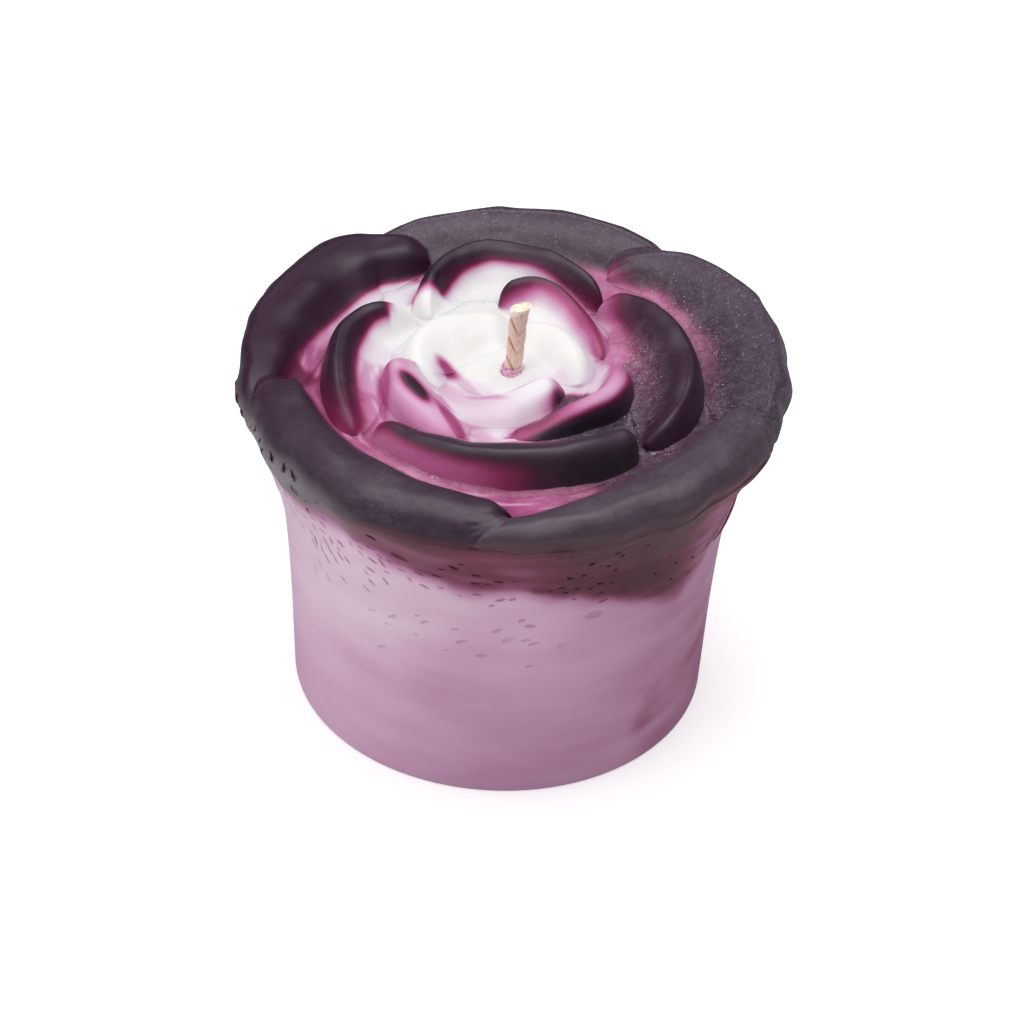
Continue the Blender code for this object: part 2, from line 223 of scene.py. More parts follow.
def write_mark(piece, mark, values):
    """Keeps a number for each vertex under this name, or the same one for all."""
    layer = piece.data.attributes.get(mark) or piece.data.attributes.new(mark, "FLOAT", "POINT")
    each = np.broadcast_to(np.asarray(values, np.float32).ravel(), len(piece.data.vertices))
    layer.data.foreach_set("value", each.copy())


def read_mark(piece, mark):
    values = np.empty(len(piece.data.vertices), np.float32)
    piece.data.attributes[mark].data.foreach_get("value", values)
    return values.astype(float)


def shaped_grid(name, points, marks=()):
    """A piece made from a grid that is bent onto these points, across by along, and closed where rows meet.

    marks are numbers for each point, kept on the mesh as attributes.
    """
    across, along = points.shape[:2]
    bpy.ops.object.select_all(action="DESELECT")
    bpy.ops.mesh.primitive_grid_add(x_subdivisions=across - 1, y_subdivisions=along - 1, size=2)
    piece = bpy.context.object
    piece.name = piece.data.name = name
    flat = np.empty(len(piece.data.vertices) * 3)
    piece.data.vertices.foreach_get("co", flat)
    flat = flat.reshape(-1, 3)
    column = np.rint((flat[:, 0] + 1) / 2 * (across - 1)).astype(int)
    row = np.rint((flat[:, 1] + 1) / 2 * (along - 1)).astype(int)
    piece.data.vertices.foreach_set("co", (points[column, row] * MM).ravel())
    for mark, values in dict(marks).items():
        write_mark(piece, mark, np.broadcast_to(values, (across, along))[column, row])
    bpy.ops.object.mode_set(mode="EDIT")
    bpy.ops.mesh.select_all(action="SELECT")
    bpy.ops.mesh.remove_doubles(threshold=0.002 * MM)
    bpy.ops.mesh.normals_make_consistent(inside=False)
    bpy.ops.object.mode_set(mode="OBJECT")
    bpy.ops.object.shade_smooth()
    return piece


def places(piece):
    """The piece's points, in mm."""
    flat = np.empty(len(piece.data.vertices) * 3)
    piece.data.vertices.foreach_get("co", flat)
    return flat.reshape(-1, 3) / MM


def move_to(piece, points):
    """Puts the piece's points at these places, in mm."""
    piece.data.vertices.foreach_set("co", (points * MM).ravel())
    piece.data.update()


def turned(outline, turns):
    """Points for an outline of (radius, height) rows, turned about Z."""
    outline = np.asarray(outline, float)
    bearing = np.linspace(0, math.tau, turns + 1)
    radius = outline[:, 0][:, None]
    height = np.broadcast_to(outline[:, 1][:, None], (len(outline), turns + 1))
    return np.stack([radius * np.cos(bearing), radius * np.sin(bearing), height], 2)


def rough(x, y, z, grain, seed):
    """Smooth chance unevenness from -1 to 1, with lumps about this many mm across."""
    return np.array([noise.noise(Vector(point)) for point in np.stack([x, y, z], 1) / grain + seed * 17.3])


bearing = np.linspace(0, math.tau, CUP_TURNS + 1)
heights = np.concatenate([[0.0, 0.12, 0.3, FOOT_ROUND_UP], np.linspace(0.9, WALL_TOP, WALL_ROWS)])[:, None]
up_the_round = np.clip(heights / FOOT_ROUND_UP, 0, 1)
edge_round = FOOT_ROUND_IN * (1 - np.sqrt(np.clip(1 - (1 - up_the_round) ** 2, 0, 1)))
radius = wall_radius(heights, bearing[None, :]) - edge_round
wall_heights = np.broadcast_to(heights, radius.shape)
wall = np.stack([radius * np.cos(bearing), radius * np.sin(bearing), wall_heights], 2)
inside = turned((
    (CUP_TOP_RADIUS, CUP_TOP),
    (DISH_RADIUS, CUP_TOP),
    (DISH_RADIUS, DISH_FLOOR),
    (BORE_RADIUS, DISH_FLOOR),
    (BORE_RADIUS, NECK_TOP),
    (NECK_RADIUS, NECK_TOP),
    (NECK_RADIUS, RECESS_TOP),
    (RECESS_RADIUS, RECESS_TOP),
    (RECESS_RADIUS, 0.0),
), CUP_TURNS)
cup = shaped_grid("cup", np.concatenate([wall, inside, wall[:1]]))

# The floor of the flower is the pour that fills the cup's dish. Its top rises a little to the heart, and
# shows between the petals: white near the heart, and magenta where the dye of the petals ran into it.
GAP = 0.3
FLOOR_LOW = 50.0
FLOOR_RISE = 1.6
RISE_FROM = 24
RISE_OVER = 11
FLOOR_REACH = 36.0
FLOOR_ROWS = 135
FLOOR_TURNS = 560


def floor_height(x, y):
    """The height of the wax between the petals."""
    return FLOOR_LOW + FLOOR_RISE * soft_step((RISE_FROM - np.hypot(x, y)) / RISE_OVER)


def poured_disc(name, radii, turns, height, foot_radius, foot_height):
    """A disc round a bore. Its top has rows at these radii, and its flat underside is this wide."""
    top = turned([(radius, 0) for radius in radii], turns)
    top[:, :, 2] = height(top[:, :, 0], top[:, :, 1])
    foot = top[[-1, 0]].copy()
    foot[0, :, :2] *= foot_radius / radii[-1]
    foot[:, :, 2] = foot_height
    return shaped_grid(name, np.concatenate([top, foot, top[:1]]))


floor_radii = np.concatenate([[BORE_RADIUS], np.linspace(1.9, FLOOR_REACH, FLOOR_ROWS)])
flower_floor = poured_disc("flower_floor", floor_radii, FLOOR_TURNS, floor_height, DISH_RADIUS - GAP,
                           DISH_FLOOR + GAP)

# The petals are lobes of wax that stand on that floor and lean out over the rim. Each is one piece, poured
# and pressed on while warm, so it has melted into what it touches. Their lips are dipped in plum.
# A section gives, from the inner foot over the lip to the outer foot, shares of the reach and of the height.
PLATEAU = (
    (-1.00, 0.00), (-0.88, 0.06), (-0.74, 0.24), (-0.58, 0.56), (-0.44, 0.82), (-0.26, 0.96), (0.10, 1.00),
    (0.46, 0.98), (0.76, 0.86), (0.90, 0.64), (0.96, 0.38), (0.985, 0.14), (1.00, 0.00),
)
SLOPED = (
    (-1.00, 0.00), (-0.88, 0.07), (-0.74, 0.28), (-0.58, 0.62), (-0.44, 0.88), (-0.26, 0.99), (0.00, 1.00),
    (0.34, 0.95), (0.66, 0.84), (0.86, 0.66), (0.95, 0.42), (0.985, 0.16), (1.00, 0.00),
)
SPREAD = (
    (-1.00, 0.00), (-0.84, 0.08), (-0.64, 0.28), (-0.44, 0.58), (-0.26, 0.82), (0.00, 0.98), (0.30, 1.00),
    (0.64, 0.88), (0.86, 0.66), (0.95, 0.40), (0.98, 0.18), (1.00, 0.00),
)
ROLLED = (
    (-1.00, 0.00), (-0.82, 0.10), (-0.62, 0.32), (-0.42, 0.64), (-0.22, 0.89), (0.00, 1.00), (0.30, 0.96),
    (0.58, 0.80), (0.78, 0.54), (0.90, 0.28), (0.96, 0.10), (1.00, 0.00),
)
CUPPED = (
    (-1.00, 0.00), (-0.80, 0.08), (-0.58, 0.24), (-0.38, 0.49), (-0.20, 0.79), (-0.04, 0.97), (0.24, 1.00),
    (0.54, 0.86), (0.77, 0.58), (0.90, 0.30), (0.96, 0.10), (1.00, 0.00),
)
DOMED = (
    (-1.00, 0.00), (-0.86, 0.10), (-0.66, 0.34), (-0.46, 0.61), (-0.26, 0.83), (-0.06, 0.97), (0.14, 1.00),
    (0.42, 0.90), (0.68, 0.66), (0.86, 0.34), (0.95, 0.12), (1.00, 0.00),
)
# Beyond each foot the surface dives under the wax it stands on: how far out, and how far down, in mm.
SKIRT = np.array(((0.10, 0.25), (0.32, 0.75), (0.68, 1.60)))
DIVE = 2.4
LOWEST_LIP = 0.05
TIP_DROOP = 0.6
WALL_FOOT = 46.8
WALL_INSET = 0.10
# A rim petal lies on the cup's wall up to this far below the under edge, and parts from it over this height.
EDGE_BELOW = 1.6
EDGE_OVER = 2.2
# The under edge of the rim: bearing, height.
UNDER_EDGE = (
    (0, 49.6), (30, 49.4), (90, 49.0), (150, 49.2), (190, 49.2), (200, 49.0), (209, 48.2), (215, 47.6),
    (223, 48.1), (231, 49.2), (240, 50.0), (255, 50.2), (262, 50.5), (269, 51.4), (280, 51.9), (299, 52.2),
    (317, 52.4), (327, 52.0), (337, 51.0), (346, 49.8), (360, 49.6),
)
ACROSS = 72
ALONG = 150


def lip_path(rows):
    """Points along the lip with the reaches and dyes of the rows, closer together towards the two ends."""
    table = np.array(rows, float)
    bearing = np.radians(table[:, 0])
    path = np.column_stack([table[:, 1] * np.cos(bearing), table[:, 1] * np.sin(bearing), table[:, 2:]])
    steps = np.linspace(0, 1, ALONG)
    return through(path, steps - 0.75 * np.sin(math.tau * steps) / math.tau)


def evenly(section):
    """The section at even steps along its own length."""
    fine = through(section, np.linspace(0, 1, 600))
    walked = np.concatenate([[0], np.cumsum(np.hypot(*np.diff(fine * (1.3, 1.0), axis=0).T))])
    even = np.linspace(0, walked[-1], ACROSS)
    return np.interp(even, walked, fine[:, 0]), np.interp(even, walked, fine[:, 1])


def bearing_of(x, y):
    """The bearing from the candle's axis, in degrees from 0 to 360."""
    return np.degrees(np.arctan2(y, x)) % 360


def under_edge(x, y):
    """How high the rim's under edge is at the bearings of these places."""
    return np.interp(bearing_of(x, y), *np.transpose(UNDER_EDGE))


def add_petal(name, section, tips, rows, on_wall=False):
    """A petal from rows along its lip, with the lengths over which its two tips grow.

    A row is bearing, lip radius, lip height, inner reach, outer reach, lip dye, outer dye and dark width.
    """
    lip = lip_path(rows)
    along = np.gradient(lip[:, :2], axis=0)
    along /= np.linalg.norm(along, axis=1)[:, None]
    outward = np.column_stack([along[:, 1], -along[:, 0]])
    outward *= np.sign(np.sum(outward * lip[:, :2]))
    gone = np.concatenate([[0], np.cumsum(np.linalg.norm(np.diff(lip[:, :2], axis=0), axis=1))])
    first = np.clip(gone / tips[0], 0, 1)
    last = np.clip((gone[-1] - gone) / tips[1], 0, 1)
    full = np.sqrt(1 - (1 - first) ** 2) * np.sqrt(1 - (1 - last) ** 2)
    reach_share, rise = evenly(section)
    skirts = len(SKIRT)
    reach_share = np.pad(reach_share, skirts, mode="edge")[:, None]
    rise = np.pad(rise, skirts)[:, None]
    beyond = np.concatenate([-SKIRT[::-1, 0], np.zeros(ACROSS), SKIRT[:, 0]])[:, None]
    sunk = np.concatenate([SKIRT[::-1, 1], np.zeros(ACROSS), SKIRT[:, 1]])[:, None]
    inner = reach_share < 0
    side_reach = np.where(inner, lip[:, 3], lip[:, 4])
    reach = side_reach * reach_share * full + beyond
    x = lip[:, 0] + outward[:, 0] * reach
    y = lip[:, 1] + outward[:, 1] * reach
    inner_foot = floor_height(*(lip[:, :2] - outward * lip[:, 3:4] * full[:, None]).T)
    outer_foot = floor_height(*(lip[:, :2] + outward * lip[:, 4:5]).T)
    if on_wall:
        outer_foot = np.full_like(inner_foot, WALL_FOOT)
    foot = np.where(inner, inner_foot, outer_foot)
    height = foot + np.maximum(lip[:, 2] - foot, LOWEST_LIP) * rise * full**TIP_DROOP - sunk
    if on_wall:
        angle = np.arctan2(y, x)
        radius = np.hypot(x, y)
        share = soft_step((height - under_edge(x, y) + EDGE_BELOW) / EDGE_OVER)
        wanted = (wall_radius(height, angle) - WALL_INSET - 1.2 * sunk) * (1 - share) + radius * share
        outer_side = soft_step((reach_share - 0.5) / 0.3)
        moved = ((wanted - radius) * full - 1.5 * (1 - full) * (1 - share)) * outer_side
        x = x * (1 + moved / radius)
        y = y * (1 + moved / radius)
    shapes[name] = (lip, outward, full, section, inner_foot, outer_foot)
    top = np.stack([x, y, height], 2)
    under = top[[-1, 0]].copy()
    under[:, :, 2] = np.minimum(under[:, :, 2], FLOOR_LOW - 3.0)
    if on_wall:
        under[0, :, :2] *= 0.95
    points = np.concatenate([top, under, top[:1]])
    points[:, 0] = points[:, 0].mean(axis=0)
    points[:, -1] = points[:, -1].mean(axis=0)
    off_lip = side_reach * reach_share * (0.35 + 0.65 * full)
    marks = {
        "off_lip": np.pad(off_lip, ((0, len(points) - len(top)), (0, 0)), mode="edge"),
        "outer_reach": lip[:, 4],
        "lip_dye": lip[:, 5],
        "outer_dye": lip[:, 6],
        "dark_width": lip[:, 7],
    }
    return shaped_grid(name, points, marks)


petals = {}
shapes = {}
OUTER = {
    "outer_petal_left": (PLATEAU, (3.5, 4.0), (
        (196, 35.4, 51.5, 3.5, 3.2, 0.86, 0.86, 3.0),
        (188, 35.6, 53.2, 5.5, 2.9, 0.86, 0.86, 3.4),
        (178, 35.6, 54.0, 8.0, 2.6, 0.87, 0.87, 4.8),
        (165, 36.2, 54.3, 10.0, 3.1, 0.88, 0.88, 6.8),
        (152, 36.7, 54.6, 10.7, 3.6, 0.88, 0.88, 7.9),
        (140, 36.8, 54.8, 10.6, 3.6, 0.88, 0.88, 7.8),
        (129, 35.6, 54.9, 9.0, 3.4, 0.88, 0.86, 6.6),
        (121, 33.1, 54.6, 6.8, 3.4, 0.88, 0.86, 5.0),
        (114, 30.4, 53.5, 4.4, 3.0, 0.86, 0.85, 3.2),
    )),
    "outer_petal_back": (SPREAD, (3.5, 3.5), (
        (130, 36.1, 51.4, 3.9, 2.5, 0.86, 0.86, 3.9),
        (120, 37.0, 53.0, 6.6, 2.9, 0.88, 0.88, 5.9),
        (109, 36.8, 54.3, 8.4, 3.2, 0.88, 0.90, 7.6),
        (97, 37.1, 54.7, 9.2, 3.4, 0.88, 0.90, 8.6),
        (85, 36.8, 54.6, 9.4, 3.6, 0.88, 0.90, 7.6),
        (74, 36.9, 54.6, 9.3, 3.4, 0.88, 0.90, 6.1),
        (63, 37.2, 54.0, 8.8, 3.0, 0.86, 0.88, 5.4),
        (55, 37.0, 52.4, 6.0, 2.6, 0.84, 0.86, 4.0),
        (49, 35.6, 51.0, 3.0, 2.2, 0.84, 0.86, 3.0),
    )),
    "outer_petal_right": (SPREAD, (4.0, 3.5), (
        (63, 29.4, 52.4, 3.0, 3.2, 0.50, 0.60, 1.2),
        (58, 33.0, 53.4, 5.2, 3.6, 0.84, 0.86, 3.2),
        (50, 36.4, 54.4, 8.6, 3.6, 0.86, 0.88, 5.2),
        (40, 37.9, 54.7, 11.3, 3.2, 0.86, 0.88, 6.7),
        (26, 38.1, 54.6, 12.3, 2.9, 0.87, 0.88, 6.9),
        (12, 37.6, 54.3, 12.1, 2.8, 0.87, 0.88, 6.9),
        (358, 36.7, 53.9, 10.8, 2.7, 0.88, 0.90, 6.2),
        (348, 36.2, 53.2, 7.6, 2.6, 0.88, 0.90, 4.8),
        (339, 35.0, 51.8, 4.0, 2.4, 0.88, 0.90, 3.0),
    )),
    "outer_petal_front_right": (SLOPED, (3.6, 5.0), (
        (350, 33.6, 52.4, 4.2, 3.6, 0.86, 0.90, 3.0),
        (342, 34.4, 53.8, 6.6, 3.8, 0.88, 0.90, 4.4),
        (331, 34.6, 54.4, 8.4, 3.6, 0.88, 0.92, 5.4),
        (316, 34.6, 54.4, 9.0, 3.4, 0.88, 0.92, 5.6),
        (302, 34.8, 54.3, 8.6, 3.2, 0.88, 0.92, 5.2),
        (290, 35.4, 54.1, 8.0, 2.8, 0.88, 0.90, 5.0),
        (279, 36.0, 53.6, 6.4, 2.4, 0.88, 0.90, 3.8),
        (269, 35.9, 52.6, 4.2, 2.0, 0.87, 0.88, 2.4),
        (261, 35.4, 51.4, 2.4, 1.8, 0.86, 0.88, 1.6),
    )),
    "outer_petal_front_left": (SLOPED, (4.2, 3.2), (
        (186, 30.8, 52.8, 2.8, 4.0, 0.86, 0.88, 1.8),
        (194, 31.6, 54.0, 4.2, 5.2, 0.87, 0.88, 2.8),
        (205, 32.2, 54.4, 5.8, 5.4, 0.87, 0.88, 3.6),
        (218, 32.8, 54.4, 7.2, 5.0, 0.87, 0.88, 4.2),
        (232, 33.2, 54.2, 8.0, 4.6, 0.87, 0.88, 4.4),
        (245, 33.4, 54.1, 7.8, 4.2, 0.87, 0.88, 4.6),
        (257, 33.4, 54.0, 6.8, 3.8, 0.88, 0.88, 4.4),
        (266, 33.0, 53.6, 5.0, 3.4, 0.88, 0.90, 3.4),
        (272, 32.4, 52.8, 3.2, 3.0, 0.88, 0.90, 2.4),
    )),
}
for name, (section, tips, rows) in OUTER.items():
    petals[name] = add_petal(name.replace("petal", "lobe"), section, tips, rows, on_wall=True)

MIDDLE = {
    "middle_petal_left": (CUPPED, (4.5, 4.0), (
        (139, 17.6, 53.2, 2.6, 2.4, 0.02, 0.02, 0.6),
        (146, 19.6, 54.8, 4.2, 2.6, 0.04, 0.04, 0.8),
        (152, 21.2, 55.7, 5.4, 2.8, 0.88, 0.80, 0.9),
        (159, 22.8, 55.9, 6.2, 2.8, 0.90, 0.86, 1.3),
        (169, 23.8, 55.7, 6.8, 2.8, 0.90, 0.86, 1.8),
        (181, 24.0, 55.1, 7.2, 2.6, 0.90, 0.84, 1.8),
        (192, 24.2, 54.3, 7.0, 2.6, 0.84, 0.74, 1.8),
        (204, 24.7, 53.3, 5.0, 2.4, 0.72, 0.62, 1.8),
        (214, 25.3, 52.0, 3.0, 2.2, 0.58, 0.50, 1.8),
    )),
    "middle_petal_back": (CUPPED, (4.0, 4.0), (
        (132, 17.6, 53.0, 2.4, 2.2, 0.02, 0.02, 0.6),
        (128, 19.6, 54.6, 3.2, 2.6, 0.06, 0.06, 0.8),
        (123, 21.6, 55.5, 4.2, 2.6, 0.90, 0.86, 1.4),
        (118, 23.4, 55.8, 5.2, 2.6, 0.90, 0.88, 1.6),
        (110, 25.4, 56.0, 7.0, 2.6, 0.92, 0.90, 1.7),
        (99, 26.8, 56.1, 8.6, 2.6, 0.92, 0.90, 1.7),
        (88, 26.2, 56.0, 8.2, 2.6, 0.90, 0.88, 1.7),
        (76, 24.6, 56.0, 6.6, 2.4, 0.88, 0.86, 1.5),
        (65, 23.0, 55.5, 4.6, 2.2, 0.84, 0.80, 1.4),
        (54, 21.8, 54.2, 2.8, 1.8, 0.72, 0.62, 1.2),
    )),
    "middle_petal_right": (CUPPED, (3.0, 4.0), (
        (53, 19.8, 54.0, 3.0, 2.2, 0.36, 0.36, 1.4),
        (45, 22.0, 55.3, 5.0, 2.6, 0.74, 0.56, 1.6),
        (34, 23.2, 56.0, 8.0, 2.8, 0.86, 0.80, 3.2),
        (20, 24.0, 55.9, 10.6, 2.8, 0.88, 0.86, 3.9),
        (6, 24.6, 55.5, 11.4, 2.8, 0.88, 0.88, 4.0),
        (353, 24.9, 55.1, 10.6, 2.6, 0.88, 0.90, 3.8),
        (341, 24.9, 54.6, 8.2, 2.4, 0.87, 0.88, 3.0),
        (331, 24.5, 53.7, 5.2, 2.2, 0.86, 0.86, 2.6),
        (323, 23.6, 52.2, 3.0, 2.0, 0.84, 0.84, 2.0),
    )),
    "middle_petal_front": (ROLLED, (3.5, 2.6), (
        (216, 22.4, 52.4, 2.2, 2.2, 0.56, 0.44, 1.2),
        (226, 21.9, 54.0, 3.8, 2.3, 0.76, 0.44, 1.4),
        (240, 21.9, 54.8, 5.4, 2.4, 0.87, 0.46, 1.6),
        (256, 22.2, 55.1, 6.4, 2.4, 0.88, 0.48, 1.8),
        (273, 22.3, 55.4, 6.8, 2.6, 0.88, 0.64, 2.0),
        # From this row to the right end the outer face is dyed near black: deepest plum with painted shade of
        # the hollow under the lip.
        (289, 22.4, 55.6, 6.6, 2.9, 0.88, 0.97, 2.6),
        (303, 22.5, 55.6, 5.8, 3.2, 0.88, 1.00, 3.0),
        (314, 22.7, 55.2, 4.4, 3.0, 0.90, 1.00, 3.0),
        (320, 22.9, 54.6, 3.2, 2.4, 0.95, 1.00, 3.0),
    )),
}
INNER = {
    "inner_petal_back": (CUPPED, (2.4, 2.5), (
        (97, 16.4, 54.8, 2.6, 1.8, 0.86, 0.80, 1.0),
        (90, 17.4, 55.6, 4.2, 2.0, 0.88, 0.80, 1.4),
        (81, 18.0, 56.2, 5.4, 2.0, 0.86, 0.76, 1.4),
        (72, 17.6, 55.9, 5.8, 2.0, 0.80, 0.56, 1.1),
        (61, 16.4, 55.1, 5.2, 2.2, 0.66, 0.48, 1.3),
        (47, 14.9, 54.3, 4.4, 2.4, 0.62, 0.46, 1.4),
        (33, 13.6, 53.7, 3.2, 2.2, 0.58, 0.42, 1.2),
        (18, 13.4, 52.8, 1.8, 1.6, 0.58, 0.40, 0.5),
    )),
    "inner_petal_left": (SPREAD, (3.0, 2.6), (
        (180, 14.2, 53.8, 3.0, 2.4, 0.33, 0.46, 1.2),
        (187, 14.9, 55.2, 4.4, 3.0, 0.29, 0.52, 1.4),
        (197, 15.3, 55.5, 5.2, 3.4, 0.27, 0.50, 1.6),
        (209, 15.5, 55.2, 5.4, 3.6, 0.25, 0.38, 1.6),
        (223, 15.4, 54.4, 5.0, 3.8, 0.28, 0.40, 1.5),
        (237, 15.8, 53.4, 3.8, 3.4, 0.33, 0.42, 1.3),
        (248, 17.0, 52.4, 2.4, 2.4, 0.42, 0.45, 1.2),
    )),
    "inner_petal_right": (ROLLED, (2.4, 2.6), (
        (360, 13.8, 54.6, 2.8, 2.6, 0.46, 0.60, 1.0),
        (350, 15.0, 55.7, 3.6, 2.8, 0.45, 0.66, 1.4),
        (340, 15.4, 55.7, 4.0, 2.8, 0.36, 0.88, 1.4),
        (330, 15.0, 55.3, 3.9, 2.6, 0.32, 0.96, 1.3),
        (317, 14.2, 54.9, 3.8, 2.6, 0.38, 0.98, 1.2),
        (302, 13.8, 54.4, 3.6, 2.6, 0.52, 0.98, 1.2),
        (286, 14.4, 53.5, 2.8, 2.4, 0.56, 0.85, 1.2),
        (274, 15.6, 52.4, 2.0, 2.0, 0.50, 0.60, 1.2),
    )),
    "heart_petal_left": (DOMED, (4.0, 4.0), (
        (206, 10.4, 52.6, 3.4, 2.0, 0.16, 0.16, 0.8),
        (195, 11.8, 53.9, 4.4, 2.8, 0.04, 0.04, 1.0),
        (180, 12.6, 54.8, 5.8, 3.0, 0.00, 0.02, 1.0),
        (165, 12.8, 55.1, 7.2, 3.4, 0.00, 0.02, 1.0),
        (150, 12.4, 55.4, 7.4, 3.6, 0.00, 0.02, 1.0),
        (134, 11.6, 55.5, 7.2, 3.6, 0.00, 0.02, 1.0),
        (116, 10.6, 55.0, 6.4, 3.4, 0.00, 0.02, 1.0),
        (98, 10.0, 54.2, 6.0, 3.0, 0.00, 0.02, 1.0),
        (84, 9.8, 52.8, 4.0, 2.4, 0.00, 0.02, 1.0),
    )),
    "heart_petal_right": (DOMED, (3.6, 3.6), (
        (92, 8.0, 52.8, 3.4, 2.6, 0.00, 0.02, 1.0),
        (76, 8.6, 54.4, 4.6, 3.0, 0.00, 0.02, 1.0),
        (56, 8.8, 55.2, 5.6, 3.2, 0.00, 0.02, 1.0),
        (36, 8.8, 55.3, 6.0, 3.2, 0.00, 0.04, 1.0),
        (16, 8.9, 54.7, 5.6, 3.0, 0.00, 0.08, 1.0),
        (358, 9.2, 53.6, 4.4, 2.6, 0.04, 0.12, 1.0),
        (346, 9.6, 52.4, 3.2, 2.2, 0.10, 0.16, 1.0),
    )),
    "heart_petal_front": (ROLLED, (2.6, 2.2), (
        (203, 10.0, 52.3, 1.8, 2.4, 0.30, 0.24, 0.5),
        (216, 9.8, 52.9, 2.2, 3.4, 0.26, 0.20, 0.5),
        (232, 9.4, 53.4, 2.6, 4.4, 0.22, 0.18, 0.5),
        (250, 8.6, 53.9, 2.8, 5.0, 0.20, 0.18, 0.5),
        (272, 7.6, 54.3, 2.8, 5.2, 0.14, 0.20, 0.5),
        (296, 6.8, 54.7, 2.6, 4.8, 0.08, 0.34, 0.4),
        (315, 7.0, 54.9, 2.2, 3.6, 0.10, 0.62, 0.4),
        (326, 7.8, 54.3, 1.8, 2.4, 0.40, 0.80, 0.4),
        (333, 8.6, 53.2, 1.4, 1.8, 0.55, 0.85, 0.4),
    )),
}
for name, (section, tips, rows) in (MIDDLE | INNER).items():
    petals[name] = add_petal(name.replace("petal", "lobe"), section, tips, rows)

# The heart is a shallow white pool that the wick stands in. It was poured last, and has a level top.
POOL_TOP = 52.0
POOL_RADIUS = 9.4
POOL_LEVEL = 4
POOL_DROP = 0.9


def pool_height(x, y):
    return POOL_TOP - POOL_DROP * soft_step((np.hypot(x, y) - POOL_LEVEL) / (POOL_RADIUS - POOL_LEVEL))


pool_radii = np.concatenate([[1.4], np.linspace(1.6, POOL_RADIUS, 34)])
heart_pool = poured_disc("heart_pool", pool_radii, 140, pool_height, POOL_RADIUS, FLOOR_LOW)

# Warm wax flows. Where two pieces met they melted together: near a seam both rise onto one smooth fillet,
# and the covered piece stays just below it. Then gentle lumps are pressed into all of them at once.
COVER = 0.09
COVER_OVER = 0.3
FLOOR_GIVES_WAY = 0.18
FILLET_AT_HEART = 1.9
WIDER_AT_RIM = 0.6
# No petal reaches farther than this from its lip.
LONGEST_REACH = 14
# Rays start this far from the candle's axis.
FAR = 60.0


def close_to(lip, x, y):
    """Which of these places lie near enough to the lip to feel its petal."""
    low = lip[:, :2].min(axis=0) - LONGEST_REACH
    high = lip[:, :2].max(axis=0) + LONGEST_REACH
    return (x > low[0]) & (x < high[0]) & (y > low[1]) & (y < high[1])


def beside_lip(lip, outward, x, y):
    """The nearest point of the lip, how far off it is, and how far outwards of it the place lies."""
    apart = (x[:, None] - lip[:, 0]) ** 2 + (y[:, None] - lip[:, 1]) ** 2
    near = np.argmin(apart, axis=1)
    far_off = np.sqrt(apart[np.arange(len(x)), near])
    aside = (x - lip[near, 0]) * outward[near, 0] + (y - lip[near, 1]) * outward[near, 1]
    return near, far_off, aside


def petal_height(shape, x, y):
    """How high a petal stands at these places. Beyond its foot the height dives."""
    lip, outward, full, section, inner_foot, outer_foot = shape
    near, far_off, aside = beside_lip(lip, outward, x, y)
    inner = aside < 0
    reach = np.where(inner, lip[near, 3], lip[near, 4]) * full[near]
    foot = np.where(inner, inner_foot[near], outer_foot[near])
    curve = through(section, np.linspace(0, 1, 200))
    rise = np.interp(aside / np.maximum(reach, 0.01), curve[:, 0], curve[:, 1])
    height = foot + np.maximum(lip[near, 2] - foot, LOWEST_LIP) * rise * full[near] ** TIP_DROOP
    return height - DIVE * np.maximum(far_off - reach, 0)


def ground_height(x, y):
    """The floor and the pool in it."""
    radius = np.hypot(x, y)
    floor_there = floor_height(x, y) - DIVE * np.maximum(radius - 35.0, 0)
    pool_there = pool_height(x, y) - DIVE * np.maximum(radius - POOL_RADIUS, 0)
    return floor_there, pool_there


def fillet(own, other, blend):
    """The higher of two surfaces, raised where they are nearly level."""
    return np.maximum(own, other) + np.maximum(blend - np.abs(own - other), 0) ** 2 / (4 * blend)


def melt_together():
    """Raises every piece onto the fillets between it and the highest of the others."""
    pieces = {**petals, "floor": flower_floor, "pool": heart_pool}
    for node, piece in pieces.items():
        points = places(piece)
        x, y, z = points.T
        floor_there, pool_there = ground_height(x, y)
        highest = np.full(len(x), -99.0)
        if node != "floor":
            highest = np.maximum(highest, floor_there)
        if node != "pool":
            highest = np.maximum(highest, pool_there)
        for other, other_piece in petals.items():
            shape = shapes[other_piece.name]
            close = close_to(shape[0], x, y)
            if other != node and close.any():
                highest[close] = np.maximum(highest[close], petal_height(shape, x[close], y[close]))
        blend = FILLET_AT_HEART + WIDER_AT_RIM * np.clip((np.hypot(x, y) - 10) / 18, 0, 1)
        above = z - highest
        gives_way = FLOOR_GIVES_WAY if node in ("floor", "pool") else 0
        outside_heart = 0.2 + 0.8 * np.clip((np.hypot(x, y) - 11) / 5, 0, 1)
        sunk = COVER * np.clip((gives_way - above) / COVER_OVER, 0, 1) + 0.45 * np.maximum(-above, 0)
        settled = fillet(z, highest, blend) - outside_heart * sunk
        points[:, 2] = np.where(np.abs(above) < blend, settled, z)
        move_to(piece, points)


def warp(piece, grain, strength, seed, upward=1.0):
    """Moves the piece's points by a smooth chance field: up inside the rim, and outwards at the wall."""
    x, y, z = places(piece).T
    radius = np.maximum(np.hypot(x, y), 0.1)
    outwards = soft_step((radius - 32.5) / 3.5)
    upwards = (1 - outwards) * soft_step((z - FLOOR_LOW + 4) / 3)
    amount = strength * rough(x, y, z, grain, seed)
    x = x + 1.6 * amount * outwards * x / radius
    y = y + 1.6 * amount * outwards * y / radius
    z = z + upward * amount * upwards
    move_to(piece, np.stack([x, y, z], 1))


def face_tree(piece):
    """The piece's faces, ready for rays to be cast at them."""
    faces = [face.vertices[:] for face in piece.data.polygons]
    return BVHTree.FromPolygons(places(piece).tolist(), faces)


